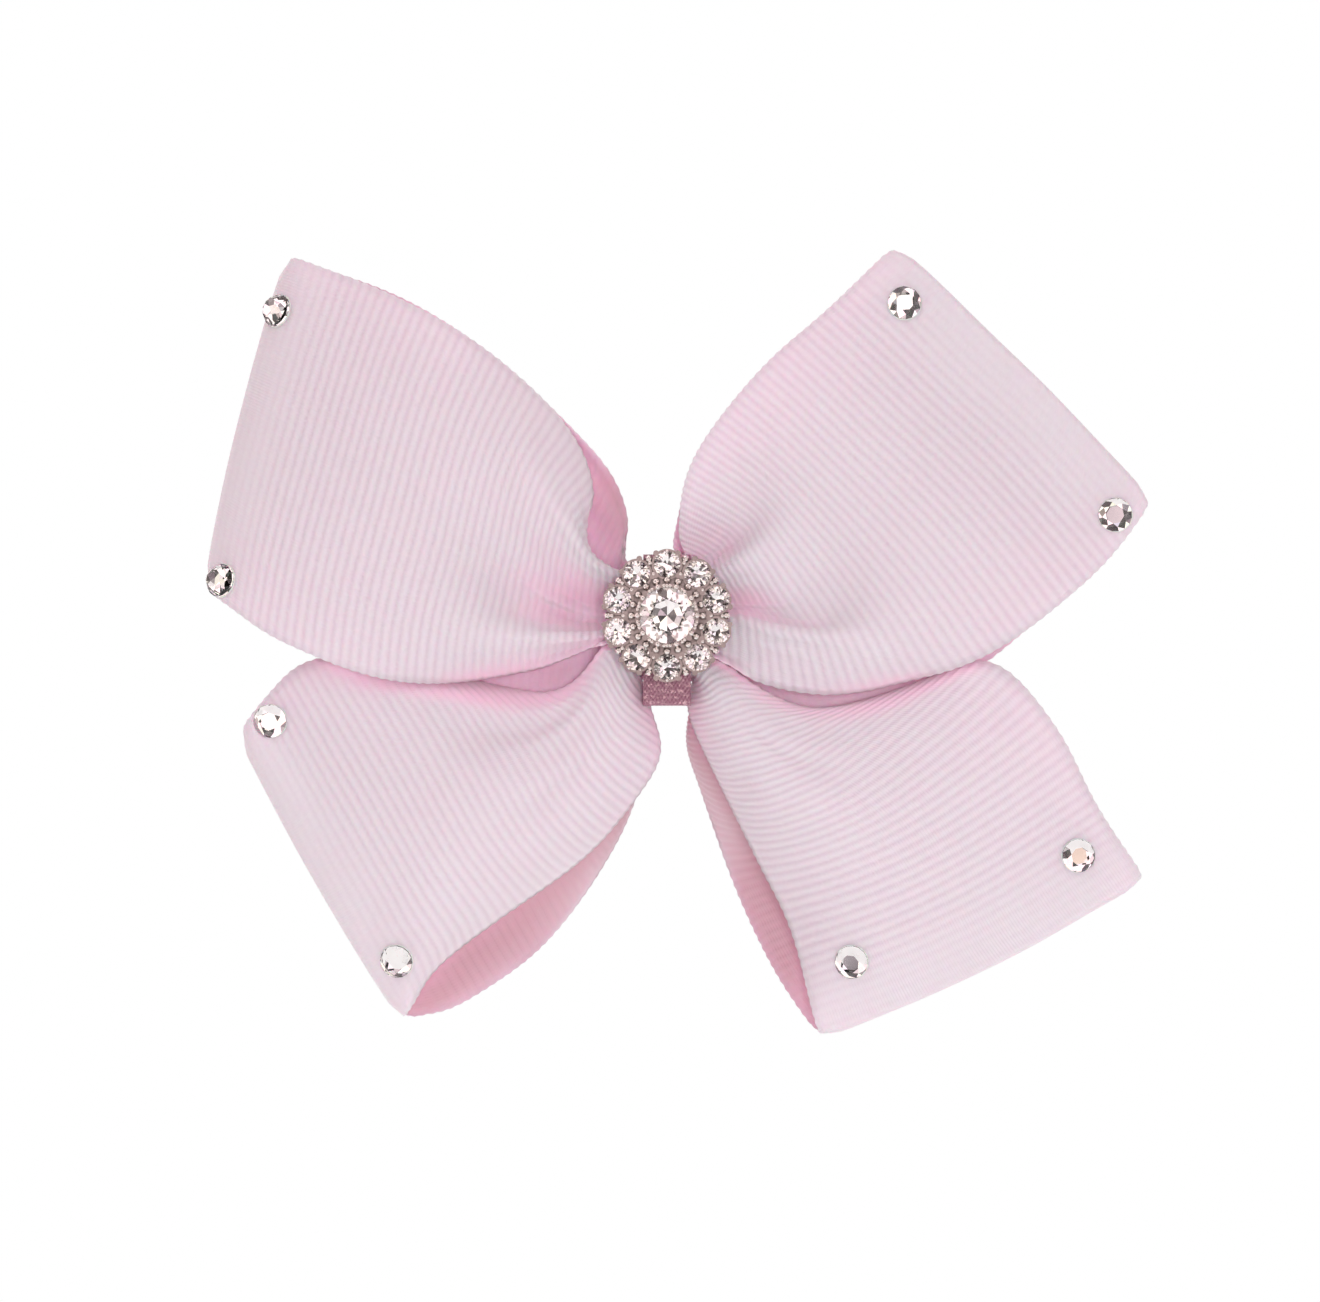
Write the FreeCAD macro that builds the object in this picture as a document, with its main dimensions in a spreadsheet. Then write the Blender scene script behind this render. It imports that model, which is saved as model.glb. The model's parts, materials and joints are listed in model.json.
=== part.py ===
"""Hair bow: two pleated grosgrain rings, a glitter wrap, a stone cluster and an alligator clip.

Frame: +X to the wearer's left as seen from the front, +Z up, the face of the bow towards -Y.
The origin is in the middle of the clip's jaw, where the hair is held. Millimetres throughout.
"""
import FreeCAD, Part
import math
import os
import Sketcher
from FreeCAD import Placement, Rotation, Vector

doc = FreeCAD.newDocument("hair_bow")

# ---------------------------------------------------------------- driving dimensions
DIMENSIONS = [
    # alias, value, meaning
    ("ribbon_thick", 0.6, "grosgrain, thickness"),
    ("waist_half", 3.0, "pinched waist, half its length along X"),
    ("waist_top", 5.4, "pinched waist, top edge Z"),
    ("waist_bottom", -8.4, "pinched waist, bottom edge Z"),
    ("waist_front", -10.6, "front face of the pinched front ribbon Y"),
    ("waist_mid", -7.4, "plane where the two ribbons meet Y"),
    ("waist_rear", -4.3, "rear face of the pinched rear ribbon Y"),
    ("swell_front", 6.6, "loop's front layer at its fullest, from the loop's own plane"),
    ("swell_rear", 4.4, "loop's rear layer at its fullest, from the loop's own plane"),
    ("swell_reach", 27.0, "distance from the middle at which a loop is fullest"),
    ("fold_radius", 2.6, "outer fold of a loop"),
    ("neck_length", 12.0, "length over which the layers stay gathered"),
    ("thread_size", 0.4, "cinching thread"),
    ("thread_pitch", 0.6, "spacing of the thread turns"),
    ("wrap_width", 5.0, "glitter strip, width along X"),
    ("wrap_thick", 0.6, "glitter strip, thickness"),
    ("wrap_ease", 0.06, "room between the strip and what it is wound on"),
    ("glue_film", 0.25, "glue under a stone or under the button"),
    ("cluster_radius", 7.0, "button with its ring of cups, overall radius"),
    ("plate_radius", 6.0, "button's base plate radius"),
    ("plate_thick", 0.8, "button's base plate thickness"),
    ("ring_stone_radius", 1.3, "small stone radius"),
    ("ring_cup_radius", 1.62, "small cup outer radius"),
    ("ring_cup_height", 1.3, "small cup height above the plate"),
    ("centre_stone_radius", 2.95, "large stone radius"),
    ("centre_cup_radius", 3.35, "large cup outer radius"),
    ("centre_cup_height", 2.5, "large cup height above the plate"),
    ("claw_radius", 0.3, "claw radius"),
    ("claw_proud", 0.5, "claw length above the rim of its cup"),
    ("corner_stone_radius", 1.75, "flat-back stone radius"),
    ("corner_stone_height", 1.3, "flat-back stone height"),
    ("sheet_metal", 0.7, "clip sheet thickness"),
    ("base_arm_face", -2.4, "fixed arm, face towards the hair Y"),
    ("base_arm_left", -23.0, "fixed arm, jaw end X"),
    ("base_arm_right", 23.0, "fixed arm, thumb end X"),
    ("base_arm_half", 4.0, "fixed arm, half width along Z"),
    ("liner_thick", 0.5, "liner ribbon thickness"),
    ("liner_right", 4.6, "liner ribbon, inner end X"),
    ("liner_half", 3.8, "liner ribbon, half width along Z"),
    ("pivot_along", 9.0, "hinge pin X"),
    ("pivot_depth", 0.5, "hinge pin Y"),
    ("pin_radius", 0.8, "hinge pin"),
    ("pin_room", 0.05, "radial running clearance of the hinge pin"),
    ("pin_head_radius", 1.3, "peened head of the hinge pin"),
    ("pin_head_thick", 0.4, "thickness of a peened head"),
    ("ear_radius", 2.0, "hinge ears"),
    ("ear_thick", 0.6, "hinge ear sheet thickness"),
    ("base_ear_inner", 3.4, "fixed arm's ears, inner face from the middle Z"),
    ("jaw_ear_inner", 2.4, "jaw arm's ears, inner face from the middle Z"),
    ("jaw_half", 3.0, "jaw arm, half width along Z"),
    ("jaw_inner_face", 2.9, "jaw arm over the hair, inner face Y"),
    ("jaw_tip", -22.6, "jaw arm, tip X"),
    ("jaw_tip_face", -1.0, "jaw arm, inner face at the tip Y"),
    ("jaw_bend", -15.0, "jaw arm, where the nose starts to close X"),
    ("thumb_bend", 11.5, "jaw arm, where the thumb end starts to rise X"),
    ("thumb_end", 22.4, "jaw arm, thumb end X"),
    ("thumb_face", 5.6, "jaw arm, inner face at the thumb end Y"),
    ("teeth_count", 5, "teeth along each flange of the jaw"),
    ("teeth_start", -22.4, "first tooth X"),
    ("tooth_pitch", 2.4, "tooth spacing"),
    ("tooth_tip", -1.6, "tooth tips Y, just clear of the liner"),
    ("tooth_root", -0.6, "tooth roots Y"),
    ("spring_wire", 0.55, "torsion spring wire diameter"),
    ("spring_radius", 1.45, "torsion spring, axis to wire centre"),
    ("spring_turns", 6, "torsion spring turns"),
    ("spring_leg", 5.0, "torsion spring, length of a leg"),
    ("glue_pad_long", 4.2, "clip glue pad along X"),
    ("glue_pad_half", 3.6, "clip glue pad, half width along Z"),
]

sheet = doc.addObject("Spreadsheet::Sheet", "dims")
for row, (alias, value, meaning) in enumerate(DIMENSIONS, start=1):
    sheet.set(f"A{row}", alias)
    sheet.set(f"B{row}", str(value))
    sheet.set(f"C{row}", meaning)
    sheet.setAlias(f"B{row}", alias)
doc.recompute()


def dim(alias):
    """A driving dimension as a number, for shapes made by Part's own functions."""
    return float(sheet.get(alias))


# The four loops, seen from the front as (X, Z). Each outline runs from the waist's top or outer edge
# along one selvedge to a fold corner, then from the other fold corner back along the other selvedge.
LOOPS = {
    "upper_left": {
        "first_edge": [(-3.0, 5.4), (-7.6, 13.4), (-17.7, 27.0), (-40.1, 38.4)],
        "last_edge": [(-48.6, 2.7), (-37.9, -3.6), (-22.8, -5.6), (-9.5, -4.6), (-3.0, -5.0)],
        "crystals": [(-41.2, 32.4), (-47.3, 3.9)],
        "tilt": 9.0,
        "ribbon": "front",
    },
    "upper_right": {
        "first_edge": [(3.0, -5.0), (9.5, -4.8), (23.8, -5.6), (37.8, -1.3), (50.9, 12.0)],
        "last_edge": [(24.1, 39.2), (9.8, 26.1), (2.9, 15.5), (3.0, 5.4)],
        "crystals": [(24.9, 32.8), (46.7, 10.6)],
        "tilt": -9.0,
        "ribbon": "front",
    },
    "lower_left": {
        "first_edge": [(-3.0, -4.4), (-8.6, -7.4), (-22.0, -7.6), (-37.8, -6.3), (-45.5, -12.6)],
        "last_edge": [(-28.2, -42.9), (-14.9, -32.5), (-4.4, -19.0), (-3.0, -8.4)],
        "crystals": [(-41.9, -11.1), (-28.5, -36.4)],
        "tilt": 0.0,
        "ribbon": "rear",
    },
    "lower_right": {
        "first_edge": [(3.0, -8.4), (4.0, -16.0), (9.2, -27.5), (16.2, -44.8)],
        "last_edge": [(50.7, -27.9), (44.8, -19.0), (38.1, -8.6), (23.0, -7.8), (9.0, -7.2), (3.0, -4.4)],
        "crystals": [(43.4, -25.3), (19.6, -36.4)],
        "tilt": 0.0,
        "ribbon": "rear",
    },
}
OUTLINE_MARGIN = 4.0      # how far the cutting outline runs past a fold, so that the fold stays whole
NECK_ROOM = 0.1           # a loop's neck stays this far inside the faces of its waist
LOOP_SPAN = 90.0          # length of an uncut loop, more than any ribbon's width on the slant
STONE_SIDES = 8
SEAT_LIFT = 0.05          # glue dots start this far off the ribbon, which curves under them


# ---------------------------------------------------------------- small helpers
def bind(item, **formulas):
    """Bind properties to the sheet. A double underscore in a name stands for a dot."""
    for name, formula in formulas.items():
        item.setExpression(name.replace("__", "."), formula)
    return item


def place(item, along="0", depth="0", up="0", axis=(0, 0, 1), angle=0.0):
    """Place an object, its position bound to the sheet."""
    item.Placement = Placement(Vector(0, 0, 0), Rotation(Vector(*axis), angle))
    return bind(item, Placement__Base__x=along, Placement__Base__y=depth, Placement__Base__z=up)


def block(name, length, width, height, along, depth, up):
    """A box with its low corner at (along, depth, up)."""
    item = bind(doc.addObject("Part::Box", name), Length=length, Width=width, Height=height)
    return place(item, along, depth, up)


def rod(name, radius, height, along, depth, up, axis=(0, 0, 1), angle=0.0):
    """A cylinder from (along, depth, up), along Z unless it is turned."""
    item = bind(doc.addObject("Part::Cylinder", name), Radius=radius, Height=height)
    return place(item, along, depth, up, axis, angle)


def forward_rod(name, radius, height, along, depth, up):
    """A cylinder that grows from its base towards the front of the bow."""
    return rod(name, radius, height, along, depth, up, axis=(1, 0, 0), angle=90.0)


def fuse(name, items):
    joined = doc.addObject("Part::MultiFuse", name)
    joined.Shapes = items
    joined.Refine = True
    return joined


def cut(name, base, tool):
    result = doc.addObject("Part::Cut", name)
    result.Base = base
    result.Tool = tool
    return result


def group(name, items):
    """Several separate solids that share one node."""
    result = doc.addObject("Part::Compound", name)
    result.Links = items
    return result


def feature(name, shape):
    """An object whose shape is made by Part's own functions."""
    item = doc.addObject("Part::Feature", name)
    item.Shape = shape
    return item


def polygon_sketch(holder, plane, corners, offset="0"):
    """A closed polygon in a sketch, every corner bound to the sheet as a pair of formulas."""
    if holder is None:
        sketch = doc.addObject("Sketcher::SketchObject", "outline")
        sketch.Placement = Placement(Vector(0, 0, 0), plane)
    else:
        sketch = holder.newObject("Sketcher::SketchObject", "outline")
        origin_plane = next(f for f in holder.Origin.OriginFeatures if f.Role == plane)
        sketch.AttachmentSupport = [(origin_plane, "")]
        sketch.MapMode = "FlatFace"
        sketch.setExpression("AttachmentOffset.Base.z", offset)
    guesses = [(evaluate(across), evaluate(up)) for across, up in corners]
    count = len(corners)
    for index in range(count):
        start = Vector(*guesses[index], 0)
        end = Vector(*guesses[(index + 1) % count], 0)
        sketch.addGeometry(Part.LineSegment(start, end), False)
    for index in range(count):
        sketch.addConstraint(Sketcher.Constraint("Coincident", index, 2, (index + 1) % count, 1))
    for index, (across, up) in enumerate(corners):
        for kind, formula, guess in zip(("DistanceX", "DistanceY"), (across, up), guesses[index]):
            number = sketch.addConstraint(Sketcher.Constraint(kind, -1, 1, index, 1, guess))
            sketch.setExpression(f"Constraints[{number}]", formula)
    return sketch


def evaluate(formula):
    """The value that a formula has now, as the first guess of a sketch corner."""
    return float(sheet.evalExpression(formula.replace("dims.", "")))


def pad(body, sketch, length, symmetric=False):
    result = body.newObject("PartDesign::Pad", "pad")
    result.Profile = sketch
    result.setExpression("Length", length)
    result.SideType = "Symmetric" if symmetric else "One side"
    return result


# ---------------------------------------------------------------- the two ribbons
def teardrop(start, neck, front, rear, reach, fold):
    """Side outline of a loop: gathered at the start, full in the middle, folded at its reach."""
    full = dim("swell_reach")
    fold_front = Vector(reach - fold, fold, 0)
    fold_rear = Vector(reach - fold, -fold, 0)
    along = Vector(1, 0, 0)
    upper = Part.BSplineCurve()
    upper.interpolate([Vector(start, neck, 0), Vector(full, front, 0), fold_front],
                      InitialTangent=along, FinalTangent=along)
    lower = Part.BSplineCurve()
    lower.interpolate([Vector(start, -neck, 0), Vector(full, -rear, 0), fold_rear],
                      InitialTangent=along, FinalTangent=along)
    tip = Part.Arc(fold_front, Vector(reach, 0, 0), fold_rear)
    return [curve.toShape() for curve in (upper, tip, lower)]


def across_ribbon(edges):
    """A solid with the given closed side outline, run across the ribbon."""
    face = Part.Face(Part.Wire(Part.__sortEdges__(edges)))
    return face.extrude(Vector(0, 0, LOOP_SPAN))


def loop_band(reach):
    """An uncut loop: the teardrop band, hollow past its gathered neck."""
    thick = dim("ribbon_thick")
    begin = dim("neck_length")
    neck = (dim("waist_mid") - dim("waist_front")) / 2 - NECK_ROOM
    front, rear, fold = dim("swell_front"), dim("swell_rear"), dim("fold_radius")
    corners = [Vector(begin, neck, 0), Vector(-begin, neck, 0), Vector(-begin, -neck, 0),
               Vector(begin, -neck, 0)]
    outer = teardrop(begin, neck, front, rear, reach, fold) + Part.makePolygon(corners).Edges
    inner_neck = neck - thick
    hollow = teardrop(begin + thick, inner_neck, front - thick, rear - thick, reach - thick, fold - thick)
    closing = Part.makeLine(Vector(begin + thick, -inner_neck, 0), Vector(begin + thick, inner_neck, 0))
    return across_ribbon(outer).cut(across_ribbon(hollow + [closing]))


def smooth_edge(points):
    curve = Part.BSplineCurve()
    curve.interpolate([Vector(across, 0, up) for across, up in points])
    return curve.toShape()


def loop_solid(loop):
    """One loop: its band, turned square to its own fold and cut to the outline of its selvedges."""
    near_corner = Vector(loop["first_edge"][-1][0], 0, loop["first_edge"][-1][1])
    far_corner = Vector(loop["last_edge"][0][0], 0, loop["last_edge"][0][1])
    fold_line = (far_corner - near_corner).normalize()
    outward = Vector(fold_line.z, 0, -fold_line.x)
    if outward.dot(near_corner) < 0:
        outward = outward * -1
    reach = outward.dot((near_corner + far_corner) * 0.5)
    outside = outward * OUTLINE_MARGIN
    edges = [
        smooth_edge(loop["first_edge"]),
        Part.makePolygon([near_corner, near_corner + outside, far_corner + outside, far_corner]),
        smooth_edge(loop["last_edge"]),
        Part.makeLine(Vector(loop["last_edge"][-1][0], 0, loop["last_edge"][-1][1]),
                      Vector(loop["first_edge"][0][0], 0, loop["first_edge"][0][1])),
    ]
    flat_edges = [edge for item in edges for edge in item.Edges]
    outline = Part.Face(Part.Wire(Part.__sortEdges__(flat_edges)))
    prism = outline.extrude(Vector(0, LOOP_SPAN, 0))
    prism.translate(Vector(0, -LOOP_SPAN / 2, 0))
    band = loop_band(reach)
    front = Vector(0, -1, 0)
    turn = Rotation(outward, front, outward.cross(front), "XYZ")
    tilt = Rotation(outward, loop["tilt"])
    plane = loop_plane(loop["ribbon"])
    centred = Placement(Vector(0, 0, -LOOP_SPAN / 2), Rotation())
    band.Placement = Placement(Vector(0, plane, 0), tilt * turn) * centred
    return band.common(prism)


def loop_plane(ribbon):
    """Y of the plane in which a ribbon's loops are gathered."""
    if ribbon == "front":
        return (dim("waist_front") + dim("waist_mid")) / 2
    return (dim("waist_mid") + dim("waist_rear")) / 2


def waist_block(ribbon):
    """The pleats of one ribbon where it is pinched, as one block."""
    front = dim("waist_front") if ribbon == "front" else dim("waist_mid")
    rear = dim("waist_mid") if ribbon == "front" else dim("waist_rear")
    half, top, bottom = dim("waist_half"), dim("waist_top"), dim("waist_bottom")
    return Part.makeBox(2 * half, rear - front, top - bottom, Vector(-half, front, bottom))


loop_shapes = {name: loop_solid(loop) for name, loop in LOOPS.items()}


def ribbon(name, side):
    loops = [loop_shapes[key] for key, loop in LOOPS.items() if loop["ribbon"] == side]
    return feature(name, waist_block(side).fuse(loops).removeSplitter())


front_ribbon = ribbon("front_ribbon", "front")
rear_ribbon = ribbon("rear_ribbon", "rear")


# ---------------------------------------------------------------- stones
def brilliant(radius, crown, girdle, pavilion):
    """A faceted stone on the XY plane's Z axis, girdle foot at Z = 0, crown upwards."""
    table = 0.56 * radius
    star = 0.76 * radius
    step = 2 * math.pi / STONE_SIDES

    def ring(distance, height, count, shift=0.0):
        angles = [(k + shift) * 2 * math.pi / count for k in range(count)]
        return [Vector(distance * math.cos(a), distance * math.sin(a), height) for a in angles]

    top = ring(table, girdle + crown, STONE_SIDES)
    rim = ring(radius, girdle, 2 * STONE_SIDES)
    foot = ring(radius, 0.0, 2 * STONE_SIDES)
    along_kite = (star * math.cos(step / 2) - table) / (radius - table)
    break_ring = ring(star, girdle + crown * (1 - along_kite), STONE_SIDES, 0.5)
    loops = [top, foot[::-1]] if pavilion == 0 else [top]
    for k in range(STONE_SIDES):
        after = (k + 1) % STONE_SIDES
        middle = rim[2 * k + 1]
        following = rim[(2 * k + 2) % (2 * STONE_SIDES)]
        loops.append([top[after], top[k], break_ring[k]])
        loops.append([top[k], break_ring[k - 1], rim[2 * k], break_ring[k]])
        loops.append([break_ring[k], rim[2 * k], middle])
        loops.append([break_ring[k], middle, following])
    culet = Vector(0, 0, -pavilion)
    for k in range(2 * STONE_SIDES):
        after = (k + 1) % (2 * STONE_SIDES)
        loops.append([rim[k], foot[k], foot[after], rim[after]])
        if pavilion:
            loops.append([foot[k], culet, foot[after]])
    faces = [Part.Face(Part.makePolygon(points + points[:1])) for points in loops]
    solid = Part.Solid(Part.Shell(faces))
    solid.fixTolerance(1e-5)
    if solid.Volume < 0:
        solid.reverse()
    return solid


def face_forward(shape, seat, outward=Vector(0, -1, 0)):
    """Turn a shape that stands on the XY plane so that its Z axis points outward from its seat."""
    shape.Placement = Placement(seat, Rotation(Vector(0, 0, 1), outward))
    return shape


def seat_on_loop(loop, spot):
    """Point and outward direction of a loop's front face at (X, Z)."""
    shape = loop_shapes[loop]
    probe = Part.makeLine(Vector(spot[0], -LOOP_SPAN, spot[1]), Vector(spot[0], LOOP_SPAN, spot[1]))
    hit = min(probe.common(shape).Vertexes, key=lambda vertex: vertex.Y).Point
    nearest = min(shape.Faces, key=lambda face: face.distToShape(Part.Vertex(hit))[0])
    outward = nearest.normalAt(*nearest.Surface.parameter(hit))
    if outward.y > 0:
        outward = outward * -1
    return hit, outward


wrap_front = dim("waist_front") - dim("thread_size") - dim("wrap_ease") - dim("wrap_thick")
plate_foot = wrap_front - dim("glue_film")
plate_face = plate_foot - dim("plate_thick")
ring_pitch_radius = dim("cluster_radius") - dim("ring_cup_radius")
RING_STONES = 10
FIRST_RING_ANGLE = 90.0
SEAT_SLOPE = 0.75          # depth of a cup's conical seat over its stone's radius
SETTING_GAP = 0.03         # room between a stone and its cup


def ring_spot(index):
    """Centre of a small stone, (X, Z)."""
    angle = math.radians(FIRST_RING_ANGLE + index * 360.0 / RING_STONES)
    return ring_pitch_radius * math.cos(angle), ring_pitch_radius * math.sin(angle)


def stone_on_cup(spot, radius, cup_height):
    stone = brilliant(radius, 0.38 * radius, 0.1 * radius, SEAT_SLOPE * radius)
    seat_depth = plate_face - cup_height - SETTING_GAP
    return face_forward(stone, Vector(spot[0], seat_depth, spot[1]))


centre_crystal = feature(
    "centre_crystal",
    stone_on_cup((0.0, 0.0), dim("centre_stone_radius"), dim("centre_cup_height")))
ring_crystals = [
    feature(f"ring_crystal_{index + 1:02d}",
            stone_on_cup(ring_spot(index), dim("ring_stone_radius"), dim("ring_cup_height")))
    for index in range(RING_STONES)]

corner_crystals = []
glue_dots = []
for loop_name, loop in LOOPS.items():
    for spot in loop["crystals"]:
        hit, outward = seat_on_loop(loop_name, spot)
        film = dim("glue_film")
        dot = Part.makeCylinder(0.6 * dim("corner_stone_radius"), film)
        glue_dots.append(feature("glue_dot", face_forward(dot, hit + outward * SEAT_LIFT, outward)))
        height = dim("corner_stone_height")
        stone = brilliant(dim("corner_stone_radius"), 0.8 * height, 0.2 * height, 0)
        seat = hit + outward * (SEAT_LIFT + film)
        name = f"corner_crystal_{len(corner_crystals) + 1}"
        corner_crystals.append(feature(name, face_forward(stone, seat, outward)))
corner_glue = group("corner_glue", glue_dots)


# ---------------------------------------------------------------- stone cluster button
def setting(name, spot, cup_radius, cup_height, stone_radius, first_claw):
    """A cup with a conical seat, and four claws round it."""
    across, up = (f"{value:.5f}" for value in spot)
    face = f"{plate_face:.5f}"
    cup = forward_rod(f"{name}_cup", cup_radius, f"{cup_height} + 0.2", across, f"{face} + 0.2", up)
    well = doc.addObject("Part::Cone", f"{name}_well")
    bind(well, Radius1="0.001", Radius2=f"{stone_radius} + 0.02",
         Height=f"{SEAT_SLOPE} * {stone_radius} + 0.02")
    place(well, across, f"{face} - {cup_height} + {SEAT_SLOPE} * {stone_radius}", up,
          axis=(1, 0, 0), angle=90.0)
    claws = []
    for index in range(4):
        angle = math.radians(first_claw + 90.0 * index)
        reach = f"({stone_radius} + 0.03 + dims.claw_radius)"
        claws.append(forward_rod(
            f"{name}_claw", "dims.claw_radius", f"{cup_height} + dims.claw_proud + 0.2",
            f"{across} + {reach} * {math.cos(angle):.5f}", f"{face} + 0.2",
            f"{up} + {reach} * {math.sin(angle):.5f}"))
    return cup, well, claws


settings = [setting("centre", (0.0, 0.0), "dims.centre_cup_radius", "dims.centre_cup_height",
                    "dims.centre_stone_radius", 45.0)]
for index in range(RING_STONES):
    turned = FIRST_RING_ANGLE + index * 360.0 / RING_STONES + 45.0
    settings.append(setting(f"ring_{index + 1}", ring_spot(index), "dims.ring_cup_radius",
                            "dims.ring_cup_height", "dims.ring_stone_radius", turned))
plate = forward_rod("plate", "dims.plate_radius", "dims.plate_thick", "0", f"{plate_foot:.5f}", "0")
cups = fuse("cups", [plate] + [item[0] for item in settings])
wells = fuse("wells", [item[1] for item in settings])
cups_with_wells = cut("cups_with_wells", cups, wells)
all_claws = [claw for item in settings for claw in item[2]]
cluster_base = fuse("cluster_base", [cups_with_wells] + all_claws)
cluster_glue = forward_rod("cluster_glue", "dims.wrap_width / 2 - 0.1", "dims.glue_film",
                           "0", f"{wrap_front:.5f}", "0")


# ---------------------------------------------------------------- thread and glitter wrap
SIDE_PLANE = Rotation(Vector(0, 1, 0), Vector(0, 0, 1), Vector(1, 0, 0), "XYZ")


def ring_round(name, corners, thickness, width, start):
    """A closed band of even thickness round an outline in the YZ plane."""
    outline = polygon_sketch(None, SIDE_PLANE, corners)
    face = doc.addObject("Part::Offset2D", f"{name}_face")
    face.Source = outline
    face.Join = "Arc"
    face.Fill = True
    face.setExpression("Value", thickness)
    band = doc.addObject("Part::Extrusion", name)
    band.Base = face
    band.DirMode = "Custom"
    band.Dir = Vector(1, 0, 0)
    band.Solid = True
    band.setExpression("LengthFwd", width)
    band.setExpression("Placement.Base.x", start)
    return band


waist_outline = [
    ("dims.waist_front", "dims.waist_bottom"),
    ("dims.waist_rear", "dims.waist_bottom"),
    ("dims.waist_rear", "dims.waist_top"),
    ("dims.waist_front", "dims.waist_top"),
]
thread_turns = [
    ring_round(f"thread_turn_{turn + 2}", waist_outline, "dims.thread_size", "dims.thread_size",
               f"{turn} * dims.thread_pitch - dims.thread_size / 2")
    for turn in (-1, 0, 1)]
cinch_thread = group("cinch_thread", thread_turns)

room = "(dims.thread_size + dims.wrap_ease)"
liner_face = "dims.base_arm_face + dims.liner_thick + dims.wrap_ease"
arm_edge = "dims.base_arm_half + dims.wrap_ease"
wrap_outline = [
    (f"dims.waist_front - {room}", f"dims.waist_bottom - {room}"),
    (f"dims.waist_rear + {room}", f"dims.waist_bottom - {room}"),
    (liner_face, f"-{arm_edge}"),
    (liner_face, arm_edge),
    (f"dims.waist_rear + {room}", f"dims.waist_top + {room}"),
    (f"dims.waist_front - {room}", f"dims.waist_top + {room}"),
]
centre_wrap = ring_round("centre_wrap", wrap_outline, "dims.wrap_thick", "dims.wrap_width",
                         "-dims.wrap_width / 2")


# ---------------------------------------------------------------- alligator clip
FULL_HEIGHT = "2 * (dims.base_arm_half + 2)"


def base_arm():
    """Flat fixed arm with a rounded nose and two ears that carry the pin."""
    body = doc.addObject("PartDesign::Body", "base_plate")
    half = "dims.base_arm_half"
    plan = [
        ("dims.base_arm_left", f"-{half} + 2"), ("dims.base_arm_left + 2", f"-{half}"),
        ("dims.base_arm_right - 1.2", f"-{half}"), ("dims.base_arm_right", f"-{half} + 1.2"),
        ("dims.base_arm_right", f"{half} - 1.2"), ("dims.base_arm_right - 1.2", half),
        ("dims.base_arm_left + 2", half), ("dims.base_arm_left", f"{half} - 2"),
    ]
    sketch = polygon_sketch(body, "XZ_Plane", plan, offset="-dims.base_arm_face")
    pad(body, sketch, "dims.sheet_metal")
    ears = []
    for side, low in (("upper", "dims.base_ear_inner"), ("lower", "-dims.base_ear_inner - dims.ear_thick")):
        ears.append(rod(f"{side}_ear", "dims.ear_radius", "dims.ear_thick",
                        "dims.pivot_along", "dims.pivot_depth", low))
        ears.append(block(f"{side}_ear_foot", "2 * dims.ear_radius",
                          "dims.pivot_depth - dims.base_arm_face + dims.sheet_metal / 2",
                          "dims.ear_thick", "dims.pivot_along - dims.ear_radius",
                          "dims.base_arm_face - dims.sheet_metal / 2", low))
    whole = fuse("base_arm_blank", [body] + ears)
    hole = rod("base_ear_hole", "dims.pin_radius + dims.pin_room", FULL_HEIGHT,
               "dims.pivot_along", "dims.pivot_depth", "-dims.base_arm_half - 2")
    return cut("clip_base_arm", whole, hole)


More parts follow.
